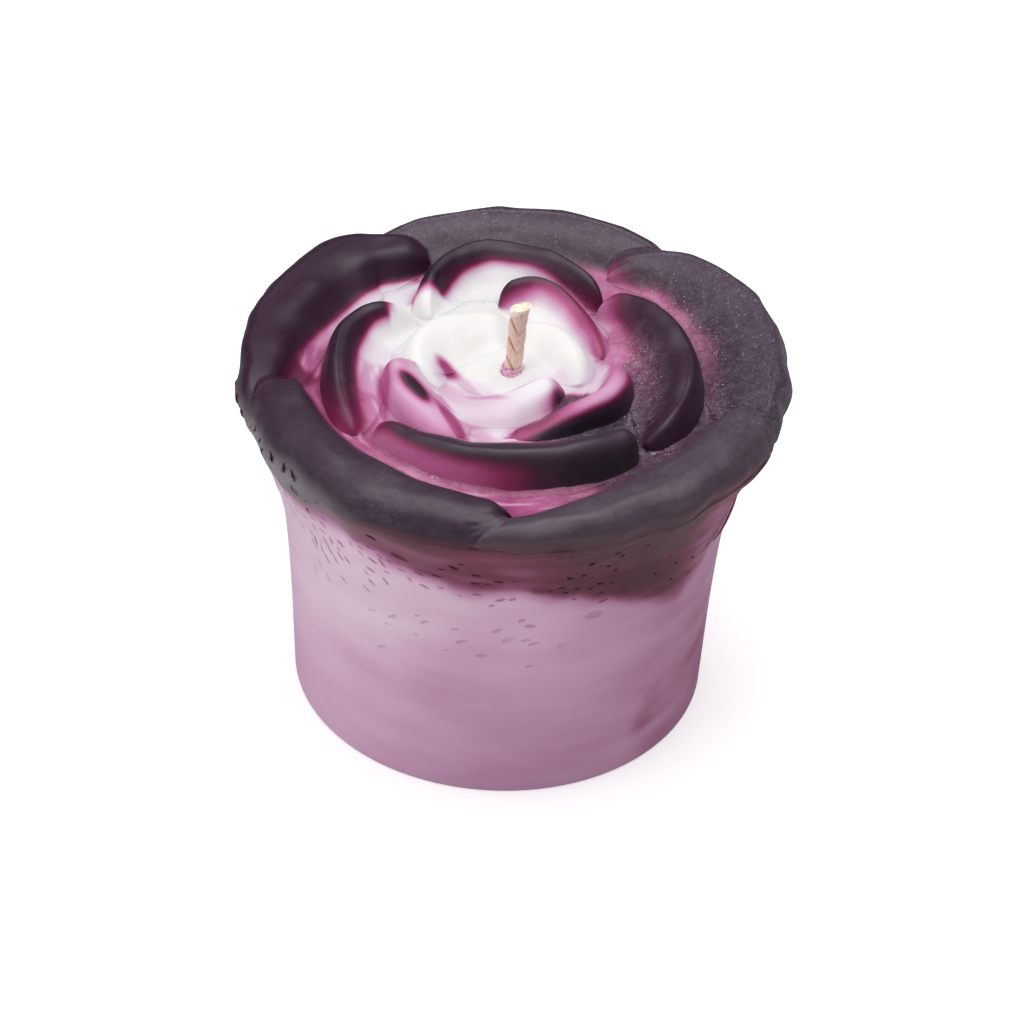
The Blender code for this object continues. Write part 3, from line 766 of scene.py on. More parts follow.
def melt_sideways(pieces, low, high, blend):
    """Joins the outer faces of these pieces between two heights, where they meet side by side."""
    trees = {piece: face_tree(piece) for piece in pieces}
    for piece in pieces:
        points = places(piece)
        radius = np.hypot(points[:, 0], points[:, 1])
        for index in np.flatnonzero((points[:, 2] > low) & (points[:, 2] < high) & (radius > 30)):
            x, y, z = points[index]
            own = radius[index]
            inwards = Vector((-x / own, -y / own, 0))
            start = Vector((0, 0, z)) - inwards * FAR
            hit = trees[piece].ray_cast(start, inwards)[3]
            if hit is None or FAR - hit > own + 0.1:
                continue
            hits = [trees[other].ray_cast(start, inwards)[3] for other in pieces if other is not piece]
            farthest = max((FAR - hit for hit in hits if hit is not None), default=0.0)
            above = own - farthest
            if abs(above) < blend:
                wanted = fillet(own, farthest, blend) - COVER * min(1.0, max(0.0, -above / COVER_OVER))
                fade = min(1.0, (high - z) / 1.2) * min(1.0, (z - low) / 2.0)
                points[index, :2] *= 1 + (wanted / own - 1) * fade
        move_to(piece, points)


melt_together()
melt_sideways([petals[name] for name in OUTER] + [cup], 40.0, 53.4, 1.3)
for piece in [*petals.values(), flower_floor, heart_pool]:
    warp(piece, 6.0, 0.45, 1)
    warp(piece, 9.0, 0.55, 5, upward=0.2)
    warp(piece, 2.4, 0.10, 2)

# The dye ran from the lips into the pale wax, as if brushed on between and inside the petals.
# A brush mark is its place, its reach, its dye, from 0 for white to 1 for the deepest plum, and its dust,
# which also carries painted sheen.
MARKS = (
    (-12, 18, 4, 0.02, 0.0), (-15, 22, 3, 0.10, 0.0), (-21, 17, 3, 0.12, 0.0), (-26, 13, 2.5, 0.20, 0.0),
    (-28, 8.5, 2.5, 0.34, 0.1), (-27, 3, 2.5, 0.48, 0.2), (-29.3, -1.5, 2, 0.66, 0.1),
    (-31, -0.7, 2, 0.70, 0.1), (-27, -4, 2, 0.50, 0.3), (-26, -8, 2, 0.48, 0.3), (-24, -12, 2.5, 0.48, 0.3),
    (-22, -17, 2.5, 0.48, 0.3), (-18, -21.3, 2.5, 0.44, 0.6), (-13, -25, 2.5, 0.40, 0.8),
    (-7.3, -27.5, 2.5, 0.41, 0.6), (-3, -28, 2, 0.46, 0.3), (0, -30.5, 2, 0.58, 0.1),
    (3, -30, 2, 0.48, 0.1), (4.4, -28.6, 2, 0.46, 0.4), (7.3, -27.5, 2.5, 0.50, 0.5),
    (11, -25.7, 2.5, 0.60, 0.6), (14.7, -22.7, 2.5, 0.74, 0.6), (18.3, -19, 2.5, 0.78, 0.7),
    (20.5, -14.7, 2.5, 0.76, 0.8), (23.5, -8.8, 2.5, 0.78, 0.8), (26.4, -3.7, 3, 0.77, 0.9),
    (28, 1, 3, 0.73, 0.9), (27, 6, 3, 0.64, 0.9), (25, 12, 3, 0.57, 0.9), (22, 16, 3, 0.52, 0.8),
    (18.3, 21, 3, 0.46, 0.6), (14, 25, 2.5, 0.44, 0.4), (11.7, 26.5, 2.5, 0.44, 0.4),
    (8.8, 28.6, 2.5, 0.56, 0.5), (3.7, 30, 3, 0.74, 0.8), (-2, 30.5, 3, 0.86, 0.9), (-9, 30, 3, 0.84, 0.8),
    (-12.5, 27.8, 1.6, 0.55, 0.2), (30, 15, 3, 0.76, 1.0), (33, 4, 3, 0.80, 1.0), (27, 22, 3, 0.76, 0.9),
    (20, 29, 3, 0.80, 0.8), (12, 32, 3, 0.76, 0.7), (-3, 22, 4, 0.04, 0.0), (5, 21.5, 3, 0.12, 0.2),
    (9, 20.5, 2.5, 0.24, 0.5), (-14, 11, 3, 0.04, 0.0), (-18, 9, 2.5, 0.02, 0.0), (-18.7, 3, 2, 0.12, 0.0),
    (-19.4, -3, 2, 0.30, 0.1), (-19.8, -9, 2, 0.42, 0.2), (-19, -13.5, 2, 0.50, 0.3),
    (-16, -4, 1.6, 0.44, 0.2), (-12.5, -10.5, 2, 0.36, 0.3), (-9, -14, 2, 0.36, 0.3),
    (-5, -15, 2, 0.32, 0.3), (-4.5, -12, 1.6, 0.34, 0.1), (-1, -12, 2, 0.14, 0.1), (2, -14, 1.6, 0.42, 0.4),
    (6, -14, 2, 0.66, 0.8), (10.3, -14.5, 2, 0.92, 0.6), (15, -11, 2, 0.92, 0.5), (17.5, -8, 2, 0.78, 0.9),
    (11.5, 0.5, 2, 0.20, 0.3), (14.5, 5, 2, 0.44, 0.6), (15.5, 10, 2, 0.48, 0.6), (14, 14, 2, 0.32, 0.3),
    (16.5, 13, 1.6, 0.34, 0.4), (18, 8, 2, 0.62, 0.9), (19, 3, 2.5, 0.65, 1.0), (19, -3, 2.5, 0.70, 1.0),
    (21, 9, 2, 0.64, 1.0), (22, 1, 2, 0.74, 0.9), (12, 19, 2, 0.40, 0.4), (8, 12, 2, 0.06, 0.1),
    (3, 15, 2.5, 0.06, 0.0), (0, 6, 4, 0.00, 0.0), (-7, 4, 3, 0.00, 0.0), (7, 4, 3, 0.00, 0.0),
    (-10, -3, 1.5, 0.20, 0.0), (-7, -5, 1.5, 0.14, 0.0), (-3.5, -6.5, 1.5, 0.16, 0.0),
    (1, -4.5, 2, 0.05, 0.0), (4.5, -2.5, 1.5, 0.10, 0.1), (7, -1.5, 1.5, 0.16, 0.1),
    # The first two marks below darken the hollow between the heart's front lobe and the inner right lobe:
    # plum dye with painted shade.
    (8.5, -6.5, 1.5, 0.70, 0.8), (6.5, -9.5, 1.5, 0.66, 0.8), (3, -11.5, 1.5, 0.40, 0.5),
)
# Spots lie over the marks: place, half length, half width, direction in degrees, dye.
SPOTS = (
    (-17.6, -6.0, 5.0, 0.8, 95, 0.50), (-7.6, -13.4, 4.8, 0.9, 123, 0.54),
    (-13.1, -8.2, 3.6, 1.5, 129, 0.56), (-13.2, -8.2, 2.6, 0.9, 129, 0.90),
    (-15.2, -2.4, 2.6, 0.8, 110, 0.34), (-5.6, -4.4, 3.6, 0.8, 128, 0.26),
    (-8.7, -0.6, 2.3, 1.3, 142, 0.40), (-8.8, -0.5, 1.5, 0.8, 142, 0.54), (-3.4, -8.2, 2.8, 0.6, 168, 0.32),
    # The second spot below darkens the same hollow: plum dye with painted shade.
    (1.8, -6.3, 2.2, 0.45, 30, 0.26), (8.6, -8.2, 2.0, 1.3, 20, 0.80), (3.6, -12.6, 4.0, 0.9, 33, 0.66),
)
# Beside a dark lip the pale wax has taken up crimson dye, most at the lip, and the same band holds painted
# shade in the crease at the petal's foot: how deep, how far on, and how far out.
CRIMSON_AND_SHADE = 0.60
CRIMSON_AND_SHADE_ON = 0.3
CRIMSON_AND_SHADE_WIDE = 0.6
WIDER_CRIMSON_AND_SHADE = {"outer_petal_front_left": 1.5, "outer_petal_front_right": 1.5, "middle_petal_front": 1.1}
# How softly the dark of a lip fades into the pale wax, in mm.
FRINGE = 1.1
SOFT_FRINGES = {"middle_petal_right": 2.8, "outer_petal_right": 2.4, "inner_petal_back": 2.0,
                "outer_petal_front_right": 1.2}


def brush_weight(apart, width):
    """How much each mark counts, from its squared distances. A faint tail reaches everywhere."""
    return np.exp(-apart / (2 * width**2)) + 1e-9 / (1 + apart)


def brushed(x, y, z):
    """Dye of the brush marks at these places, a little stirred, and their dusting, which also carries painted
    sheen.
    """
    table = np.array(MARKS)
    x = x + 0.5 * rough(x, y, z, 4.0, 3)
    y = y + 0.5 * rough(x, y, z, 4.0, 4)
    apart = (x[:, None] - table[:, 0]) ** 2 + (y[:, None] - table[:, 1]) ** 2
    weight = brush_weight(apart, 0.62 * table[:, 2])
    weight /= weight.sum(axis=1)[:, None]
    dye = weight @ table[:, 3]
    streaks = soft_step(1.8 * rough(np.hypot(x, y), np.arctan2(y, x) * 3.6, 0 * z, 0.9, 13))
    streaks = streaks * soft_step(1.2 * np.cos(np.arctan2(y, x) - math.radians(235)) + 0.6)
    dye = dye - 0.22 * streaks * soft_step((dye - 0.20) / 0.12) * soft_step((0.66 - dye) / 0.10)
    return dye, weight @ table[:, 4]


def spotted(x, y, dye):
    """The dye with the spots laid over it."""
    for spot_x, spot_y, long, wide, direction, spot_dye in SPOTS:
        turn = math.radians(direction)
        lengthwise = (x - spot_x) * math.cos(turn) + (y - spot_y) * math.sin(turn)
        sidewise = (y - spot_y) * math.cos(turn) - (x - spot_x) * math.sin(turn)
        dye = dye + (spot_dye - dye) * soft_step(1.6 - 1.1 * np.hypot(lengthwise / long, sidewise / wide))
    return dye


def crept_and_shaded(x, y, base):
    """Crimson dye beside the dark lobes, which also carries painted shade in the creases at their feet."""
    crimson_and_shade = np.zeros(len(x))
    for node in (*OUTER, *MIDDLE):
        lip, outward, full = shapes[petals[node].name][:3]
        close = np.flatnonzero(close_to(lip, x, y))
        near, beside, aside = beside_lip(lip, outward, x[close], y[close])
        edge = np.where(aside < 0, lip[near, 7] + CRIMSON_AND_SHADE_ON, lip[near, 4] * full[near])
        wide = WIDER_CRIMSON_AND_SHADE.get(node, CRIMSON_AND_SHADE_WIDE)
        strong = np.clip((lip[near, 5] - 0.5) / 0.3, 0, 1) * full[near]
        crimson_and_shade[close] = np.maximum(crimson_and_shade[close], strong * np.exp(-np.maximum(beside - edge, 0) / wide))
    # Painted crease shade and crimson dye, strongest next to the lip.
    return base + (CRIMSON_AND_SHADE - base) * crimson_and_shade * (base < CRIMSON_AND_SHADE)


# On the cup the plum has run down from the rim to an uneven edge: bearing, height of the edge, dye above it.
RUNS = (
    (0, 46.0, 0.86), (20, 43.0, 0.88), (45, 41.0, 0.86), (70, 37.5, 0.84), (90, 36.0, 0.82),
    (112, 39.0, 0.84), (135, 43.0, 0.86), (160, 46.5, 0.86), (180, 46.6, 0.80), (200, 47.0, 0.72),
    (210, 46.4, 0.64), (221, 44.8, 0.60), (229, 43.4, 0.62), (237, 42.8, 0.65), (243, 41.8, 0.66),
    (251, 40.4, 0.68), (259, 39.8, 0.69), (267, 39.8, 0.70), (275, 39.4, 0.71), (282, 37.8, 0.73),
    (295, 35.2, 0.78), (305, 33.4, 0.81), (315, 31.0, 0.77), (323, 29.8, 0.66), (327, 31.5, 0.60),
    (333, 35.0, 0.66), (342, 41.0, 0.80), (350, 45.0, 0.86), (360, 46.0, 0.86),
)
# How far down from the rim's under edge the plum on the cup is darkest, partly deeper plum and partly painted
# shadow under the rim: bearing, depth.
PLUM_AND_SHADOW_BAND = ((215, 2.6), (240, 3.4), (262, 4.0), (285, 7.5), (335, 7.5), (350, 2.6))
DARKEST_PLUM_AND_SHADOW = 0.89


def run_down(x, y, z):
    """The height of the plum's edge on the cup, and its dye above that, darker close under the rim with
    painted shadow.
    """
    bearing = bearing_of(x, y)
    runs = np.array(RUNS)
    edge = np.interp(bearing, runs[:, 0], runs[:, 1])
    edge = edge + 1.3 * rough(x, y, z * 0.4, 7.0, 5) + 0.5 * rough(x, y, z * 0.5, 2.2, 6)
    above = np.interp(bearing, runs[:, 0], runs[:, 2])
    above = above + 0.07 * rough(x * 0.2, y * 0.2, z + x * 0.05, 1.6, 14) * (above < 0.8)
    deep = np.interp(bearing, *np.transpose(PLUM_AND_SHADOW_BAND))
    # Painted shadow of the rim's overhang, together with deeper plum, darkens the band close under the rim.
    above = above + (DARKEST_PLUM_AND_SHADOW - above) * 0.8 * soft_step((z - under_edge(x, y) + deep) / deep)
    return edge, above


# A pale haze lies over the plum and the lilac below the rim, partly a grey bloom on the wax and partly a
# painted reflection: bearing, top, bottom, strength.
HAZE_AND_SHEEN_BANDS = (
    (178, 50.5, 46.5, 0.0), (188, 51.0, 45.4, 0.42), (199, 51.4, 44.8, 0.60), (215, 51.6, 45.2, 0.58),
    (226, 51.4, 45.2, 0.42), (236, 51.0, 45.0, 0.22), (246, 50.6, 44.4, 0.10), (262, 50.4, 43.0, 0.03),
    (285, 52.0, 44.0, 0.04), (318, 52.4, 41.0, 0.07), (335, 51.0, 42.0, 0.0),
)


def haze_and_sheen_at(x, y, z):
    """How strong the pale grey layer, partly bloom and partly painted reflection, is at these places."""
    bearing = bearing_of(x, y)
    table = np.array(HAZE_AND_SHEEN_BANDS)
    top, bottom, strong = (np.interp(bearing, table[:, 0], table[:, k]) for k in (1, 2, 3))
    z = z + 0.5 * rough(x, y, z, 3.0, 15)
    outside = soft_step((np.hypot(x, y) - 33.0) / 1.5)
    return strong * outside * soft_step((top - z) / 4.2 + 0.22) * soft_step((z - bottom) / 3.0 + 0.5)


def dye_petal(piece, fringe, dust_and_sheen_share, veil_and_sheen):
    """Plum on the lip and outside it, from dark_width inside the lip, and the brush marks' dye elsewhere."""
    x, y, z = places(piece).T
    off = read_mark(piece, "off_lip")
    lip = read_mark(piece, "lip_dye")
    outer = read_mark(piece, "outer_dye")
    wander = 0.30 * rough(x, y, z, 4.0, 1) + 0.06 * rough(x, y, z, 1.1, 2)
    base, dust = brushed(x, y, z)
    base = crept_and_shaded(x, y, base)
    dark = soft_step(0.5 + (off + read_mark(piece, "dark_width") + wander) / (2 * fringe))
    outside = soft_step((off / np.maximum(read_mark(piece, "outer_reach"), 0.1) - 0.35) / 0.5)
    dye = base + (lip - base) * dark
    dye = dye + (outer - dye) * outside
    edge = under_edge(x, y) + 0.4 * wander
    under_rim = soft_step((edge - z) / 0.9 + 0.5) * soft_step((np.hypot(x, y) - 35.0) / 0.8)
    dye = dye + (run_down(x, y, z)[1] - dye) * under_rim
    on_floor = soft_step((floor_height(x, y) + 0.9 - z) / 1.2) * (np.hypot(x, y) < 33)
    dye = dye + (base - dye) * on_floor
    write_mark(piece, "dye", spotted(x, y, dye))
    # The dust here also carries painted sheen: on the dark lip it is raised to each petal's own share.
    settled = np.maximum(dust * (1 - (1 - dust_and_sheen_share) * dark), 0.12 * dust_and_sheen_share * dark / 0.3)
    write_mark(piece, "dust", settled * (1 - under_rim))
    write_mark(piece, "run", under_rim)
    # The veil lays painted sheen, with some bloom, over the dark lip.
    write_mark(piece, "haze", np.maximum(haze_and_sheen_at(x, y, z), veil_and_sheen * dark))
    for mark in ("off_lip", "outer_reach", "lip_dye", "outer_dye", "dark_width"):
        piece.data.attributes.remove(piece.data.attributes[mark])


# How much dust, with painted sheen, lies on the dark of a petal, and how strong its veil, partly bloom and
# partly painted sheen. Most have little dust and no veil.
LITTLE_BLOOM_AND_SHEEN = (0.12, 0.0)
BLOOM_AND_SHEEN = {
    "outer_petal_back": (0.50, 0.005),
    "outer_petal_right": (0.46, 0.035),
    "outer_petal_front_right": (0.40, 0.085),
    "outer_petal_front_left": (0.34, 0.02),
    "middle_petal_front": (0.12, 0.03),
}
for node, piece in petals.items():
    dye_petal(piece, SOFT_FRINGES.get(node, FRINGE), *BLOOM_AND_SHEEN.get(node, LITTLE_BLOOM_AND_SHEEN))
for piece in (flower_floor, heart_pool):
    x, y, z = places(piece).T
    dye, dust = brushed(x, y, z)
    write_mark(piece, "dye", spotted(x, y, crept_and_shaded(x, y, dye)))
    write_mark(piece, "dust", dust)

# The wall of the cup came out of its mould with slanting pits, where air was caught, and with a thin curl of
# wax scraped up at the right. The pits go on over the under sides of the rim petals at the left.
# The lilac of the wall is uneven and darker towards the front right, partly its own dye and partly painted
# shade on the side away from the left lamp: bearing, height, reach, dye.
LILAC_AND_SHADE = (
    (200, 30, 14, 0.10), (222, 32, 8, 0.06), (238, 34, 7, 0.04), (252, 32, 6, 0.12), (262, 24, 7, 0.36),
    (275, 30, 6, 0.22), (285, 20, 8, 0.36), (300, 26, 7, 0.36), (315, 20, 8, 0.50), (330, 30, 8, 0.50),
    (345, 15, 9, 0.56), (205, 8, 8, 0.26), (230, 14, 8, 0.24), (250, 6, 7, 0.34), (275, 5, 7, 0.42),
    (300, 6, 7, 0.42), (325, 5, 6, 0.54), (314, 7, 2.0, 0.64), (317, 11, 1.8, 0.58), (0, 30, 12, 0.40),
    (30, 20, 14, 0.34), (60, 10, 12, 0.40), (75, 28, 12, 0.24), (105, 16, 14, 0.34), (130, 30, 12, 0.16),
    (150, 8, 12, 0.34), (170, 24, 12, 0.12),
)
MEAN_RADIUS = 33.0
# The cup's wall has the same lumps as the petals: grain, strength and seed.
CUP_WARPS = ((6.0, 0.45, 1), (9.0, 0.55, 5))
# Air pits: bearing, height, reach of the patch, how many, length, width, lean from upright in degrees.
PIT_PATCHES = (
    (200, 42.0, 5.0, 30, 1.05, 0.28, -15), (215, 42.0, 6.0, 44, 1.20, 0.28, -22),
    (228, 37.0, 7.0, 36, 1.20, 0.32, -30), (243, 41.5, 5.0, 30, 1.10, 0.36, -62),
    (262, 41.0, 5.0, 20, 1.00, 0.44, 90), (293, 41.0, 4.0, 26, 0.80, 0.46, 100),
    (318, 38.0, 6.0, 12, 0.70, 0.36, 110), (272, 32.0, 7.0, 12, 1.20, 0.70, 80),
    (250, 30.0, 6.0, 12, 1.20, 0.55, 60), (285, 46.0, 8.0, 16, 0.60, 0.44, 90),
    (340, 44.0, 6.0, 12, 0.80, 0.34, 100), (10, 42.0, 9.0, 18, 0.90, 0.34, 60),
    (45, 40.0, 10.0, 22, 0.95, 0.34, 30), (80, 41.0, 10.0, 26, 0.95, 0.36, 20),
    (110, 38.0, 8.0, 20, 1.00, 0.34, 10), (140, 42.0, 8.0, 24, 0.95, 0.32, 0),
    (170, 40.0, 9.0, 26, 1.00, 0.30, 0), (193, 48.4, 2.6, 26, 1.15, 0.34, -18),
    (203, 48.4, 2.6, 26, 1.20, 0.34, -26), (213, 48.2, 2.6, 24, 1.20, 0.36, -34),
    (184, 49.6, 1.6, 8, 1.10, 0.36, 5), (247, 43.9, 0.1, 1, 2.2, 0.9, -62),
    (255, 41.0, 0.1, 1, 3.0, 0.8, -78), (287, 27.9, 0.1, 1, 2.0, 1.3, 80),
    (273, 29.6, 0.1, 1, 1.6, 1.0, 60), (294, 33.1, 0.1, 1, 1.9, 1.3, 90),
)
PIT_SPACING = 1.3
PIT_TOP = 50.5
DEEPEST_PIT = 0.26
# The curl: bearing, height, how far it stands off the wall.
CURL = (
    (342.2, 40.8, 0.10), (341.0, 39.5, 0.22), (339.2, 38.0, 0.26), (336.6, 36.4, 0.26), (333.4, 35.5, 0.12),
)
CURL_ROWS = 24


def struck(trees, angle, height):
    """What a ray towards the candle's axis meets first: the piece, the place and the normal there."""
    inwards = Vector((-math.cos(angle), -math.sin(angle), 0))
    start = Vector((0, 0, height)) - inwards * FAR
    found = [(hit[3], piece.name, piece, hit[0], hit[1]) for piece, tree in trees.items()
             if (hit := tree.ray_cast(start, inwards))[3] is not None]
    return min(found)[2:]


def pit_frames(pieces):
    """For each pit its piece, middle and three half axes."""
    chance = np.random.default_rng(7)
    trees = {piece: face_tree(piece) for piece in pieces}
    taken = []
    for bearing, height, reach, count, long, wide, lean in PIT_PATCHES:
        for _ in range(count):
            spot_height = height + chance.normal() * reach * 0.55
            spot_angle = math.radians(bearing) + chance.normal() * reach * 0.75 / MEAN_RADIUS
            size = chance.uniform(0.6, 1.35)
            tilt = math.radians(lean + chance.normal() * 14)
            spot = np.array([spot_angle * MEAN_RADIUS, spot_height])
            if spot_height > PIT_TOP or any(np.hypot(*(spot - old)) < PIT_SPACING for old in taken):
                continue
            taken.append(spot)
            piece, middle, out = struck(trees, spot_angle, spot_height)
            lengthwise = Vector((-out.y, out.x, 0)) * math.sin(tilt) + Vector((0, 0, math.cos(tilt)))
            lengthwise = (lengthwise - out * lengthwise.dot(out)).normalized()
            deep = min(DEEPEST_PIT, wide * 0.7)
            axes = (lengthwise * long * 0.6, out.cross(lengthwise) * wide / 2, out * deep)
            yield piece, middle, [axis * size for axis in axes]


def cut_pits(wall_piece, frames):
    """Cuts these pits into the piece with one Boolean, by flattened balls joined in one cutter."""
    bpy.ops.mesh.primitive_ico_sphere_add(subdivisions=2, radius=1)
    ball = bpy.context.object
    bpy.ops.object.select_all(action="DESELECT")
    for middle, axes in frames:
        pit = ball.copy()
        pit.data = ball.data.copy()
        bpy.context.collection.objects.link(pit)
        shape = Matrix([axis * MM for axis in axes]).transposed().to_4x4()
        pit.data.transform(Matrix.Translation(middle * MM) @ shape)
        pit.data.update()
        pit.select_set(True)
    bpy.data.objects.remove(ball)
    bpy.context.view_layer.objects.active = pit
    bpy.ops.object.join()
    for piece in (wall_piece, pit):
        piece.data.materials.clear()
        for _ in range(2):
            piece.data.materials.append(None)
    pit.data.polygons.foreach_set("material_index", np.ones(len(pit.data.polygons), np.int32))
    bpy.context.view_layer.objects.active = wall_piece
    pits = wall_piece.modifiers.new("pits", "BOOLEAN")
    pits.operation = "DIFFERENCE"
    pits.object = pit
    bpy.ops.object.modifier_apply(modifier=pits.name)
    bpy.data.objects.remove(pit)
    in_pit = np.zeros(len(wall_piece.data.vertices))
    for face in wall_piece.data.polygons:
        if face.material_index == 1:
            in_pit[list(face.vertices)] = 1
            face.material_index = 0
    write_mark(wall_piece, "pit", in_pit)
    bpy.ops.object.select_all(action="DESELECT")
    wall_piece.select_set(True)
    bpy.ops.object.shade_smooth_by_angle(angle=math.radians(32))


def dye_cup(piece):
    """Lilac, with faint level bands, plum above the uneven edge, and painted shade in the pits."""
    x, y, z = places(piece).T
    bearing = bearing_of(x, y)
    edge, above = run_down(x, y, z)
    # The wall's dye table, with painted shade on its right side.
    lilac_and_shade = np.array(LILAC_AND_SHADE)
    aside = np.radians((bearing[:, None] - lilac_and_shade[:, 0] + 180) % 360 - 180) * MEAN_RADIUS
    apart = aside**2 + (z[:, None] - lilac_and_shade[:, 1]) ** 2
    weight = brush_weight(apart, 0.7 * lilac_and_shade[:, 2])
    base = (weight @ lilac_and_shade[:, 3]) / weight.sum(axis=1)
    base = base + 0.03 * rough(x * 0.25, y * 0.25, z + x * 0.05, 1.7, 7)
    base = base + 0.07 * rough(x * 0.3, y * 0.3, z, 4.5, 8)
    softness = 2.6 + 2.6 * soft_step((bearing - 215) / 20) * soft_step((350 - bearing) / 20)
    dye = base + (above - base) * soft_step(0.5 + (z - edge) / softness)
    # Painted shade in the pits: their faces are dyed darker.
    pit = read_mark(piece, "pit")
    haze = haze_and_sheen_at(x, y, z)
    dye = dye + (np.maximum(0.56, dye + 0.10 + 0.5 * haze) - dye) * 0.7 * pit * soft_step((z - 28) / 10)
    write_mark(piece, "dye", dye)
    write_mark(piece, "haze", haze * (1 - pit))
    write_mark(piece, "dust", 0)


def tube(name, path, radii, sides):
    """A closed round tube along this path, with a radius for each of its points."""
    path = np.asarray(path, float)
    ahead = np.gradient(path, axis=0)
    ahead /= np.linalg.norm(ahead, axis=1)[:, None]
    side = np.cross(ahead, (0.0, 1.0, 0.02))
    side /= np.linalg.norm(side, axis=1)[:, None]
    other = np.cross(ahead, side)
    turn = np.linspace(0, math.tau, sides + 1)[:, None, None]
    points = path + (side * np.cos(turn) + other * np.sin(turn)) * np.asarray(radii, float)[:, None]
    points = np.concatenate([np.broadcast_to(path[:1], (sides + 1, 1, 3)), points,
                             np.broadcast_to(path[-1:], (sides + 1, 1, 3))], 1)
    return shaped_grid(name, points)


def joined(name, parts):
    """One object from these, which keeps their marks."""
    bpy.ops.object.select_all(action="DESELECT")
    for part in parts:
        part.select_set(True)
    bpy.context.view_layer.objects.active = parts[0]
    bpy.ops.object.join()
    parts[0].name = parts[0].data.name = name
    return parts[0]


for grain, strength, seed in CUP_WARPS:
    warp(cup, grain, strength, seed)
frames = list(pit_frames([cup, *(petals[name] for name in OUTER)]))
for piece in (cup, petals["outer_petal_left"], petals["outer_petal_front_left"]):
    cut_pits(piece, [frame[1:] for frame in frames if frame[0] is piece])
    if piece is cup:
        dye_cup(piece)
    else:
        # Painted shade in the pits: on the rim petals their faces are dyed near black and lose the grey
        # layers.
        pit = read_mark(piece, "pit")
        write_mark(piece, "dye", np.maximum(read_mark(piece, "dye"), 0.93 * pit))
        for mark in ("dust", "haze", "run"):
            write_mark(piece, mark, read_mark(piece, mark) * (1 - pit))

wall_tree = {cup: face_tree(cup)}
curl_path = []
for bearing, height, off in through(CURL, np.linspace(0, 1, CURL_ROWS)):
    middle, out = struck(wall_tree, np.radians(bearing), height)[1:]
    curl_path.append(middle + out * off)
curl_radii = 0.05 + 0.13 * np.sin(np.linspace(0.1, math.pi - 0.1, CURL_ROWS))
curl = tube("curl", curl_path, curl_radii, 8)
write_mark(curl, "dye", 0.72)
cup = joined("cup", [cup, curl])

# The waxes. Dye takes the flower from cream white through pink and magenta to plum, and the cup from pale
# lilac to the same plum. Wax lets light a little way in, and its skin is satin, with fine grain and dust. The
# grey film and haze laid over it are partly bloom on the wax and partly painted sheen.
FLOWER_DYES = (
    (0.00, (0.81, 0.80, 0.785)), (0.10, (0.77, 0.73, 0.77)), (0.22, (0.66, 0.50, 0.62)),
    (0.36, (0.58, 0.26, 0.44)), (0.48, (0.43, 0.085, 0.24)), (0.60, (0.23, 0.015, 0.09)),
    (0.70, (0.10, 0.005, 0.04)), (0.80, (0.036, 0.004, 0.022)), (0.90, (0.026, 0.007, 0.024)),
    # The last stop, near black, is reached on the outer face of the middle front lobe and in the pits, where
    # it stands partly for painted shade.
    (1.00, (0.006, 0.001, 0.005)),
)
CUP_DYES = (
    (0.00, (0.71, 0.56, 0.67)), (0.25, (0.61, 0.37, 0.53)), (0.50, (0.45, 0.215, 0.36)),
    (0.60, (0.32, 0.10, 0.20)), (0.70, (0.17, 0.032, 0.070)), (0.80, (0.085, 0.018, 0.038)),
    (0.90, (0.034, 0.014, 0.026)), (1.00, (0.010, 0.003, 0.007)),
)
# The film colours are partly a grey bloom on the wax and partly painted sheen.
FILM_AND_SHEEN_ON_PALE = (0.82, 0.68, 0.80, 1)
FILM_AND_SHEEN_ON_DARK = (0.32, 0.29, 0.40, 1)
HAZE_AND_SHEEN_GREY = (0.36, 0.335, 0.36, 1)
SPECK = (0.74, 0.68, 0.76, 1)


def blended(add, share, first, second):
    """The colour between two colours. A colour Mix node takes its share at 0 and its colours at 6 and 7."""
    return add("ShaderNodeMix", {0: share, 6: first, 7: second}, data_type="RGBA").outputs[2]


def mark_value(add, mark):
    return add("ShaderNodeAttribute", attribute_name=mark).outputs["Fac"]


def shade_with(add, inputs):
    """Ends a material with one shader that has these inputs."""
    shader = add("ShaderNodeBsdfPrincipled", inputs)
    add("ShaderNodeOutputMaterial", {0: shader.outputs[0]})


def dye_ramp(add, dye, dyes):
    """The colour of this much dye."""
    ramp = add("ShaderNodeValToRGB", {"Fac": dye})
    stops = ramp.color_ramp.elements
    for stop, (share, colour) in enumerate(dyes):
        element = stops[stop] if stop == 0 else stops.new(share) if stop < len(dyes) - 1 else stops[-1]
        element.position = share
        element.color = (*colour, 1)
    return ramp.outputs["Color"]


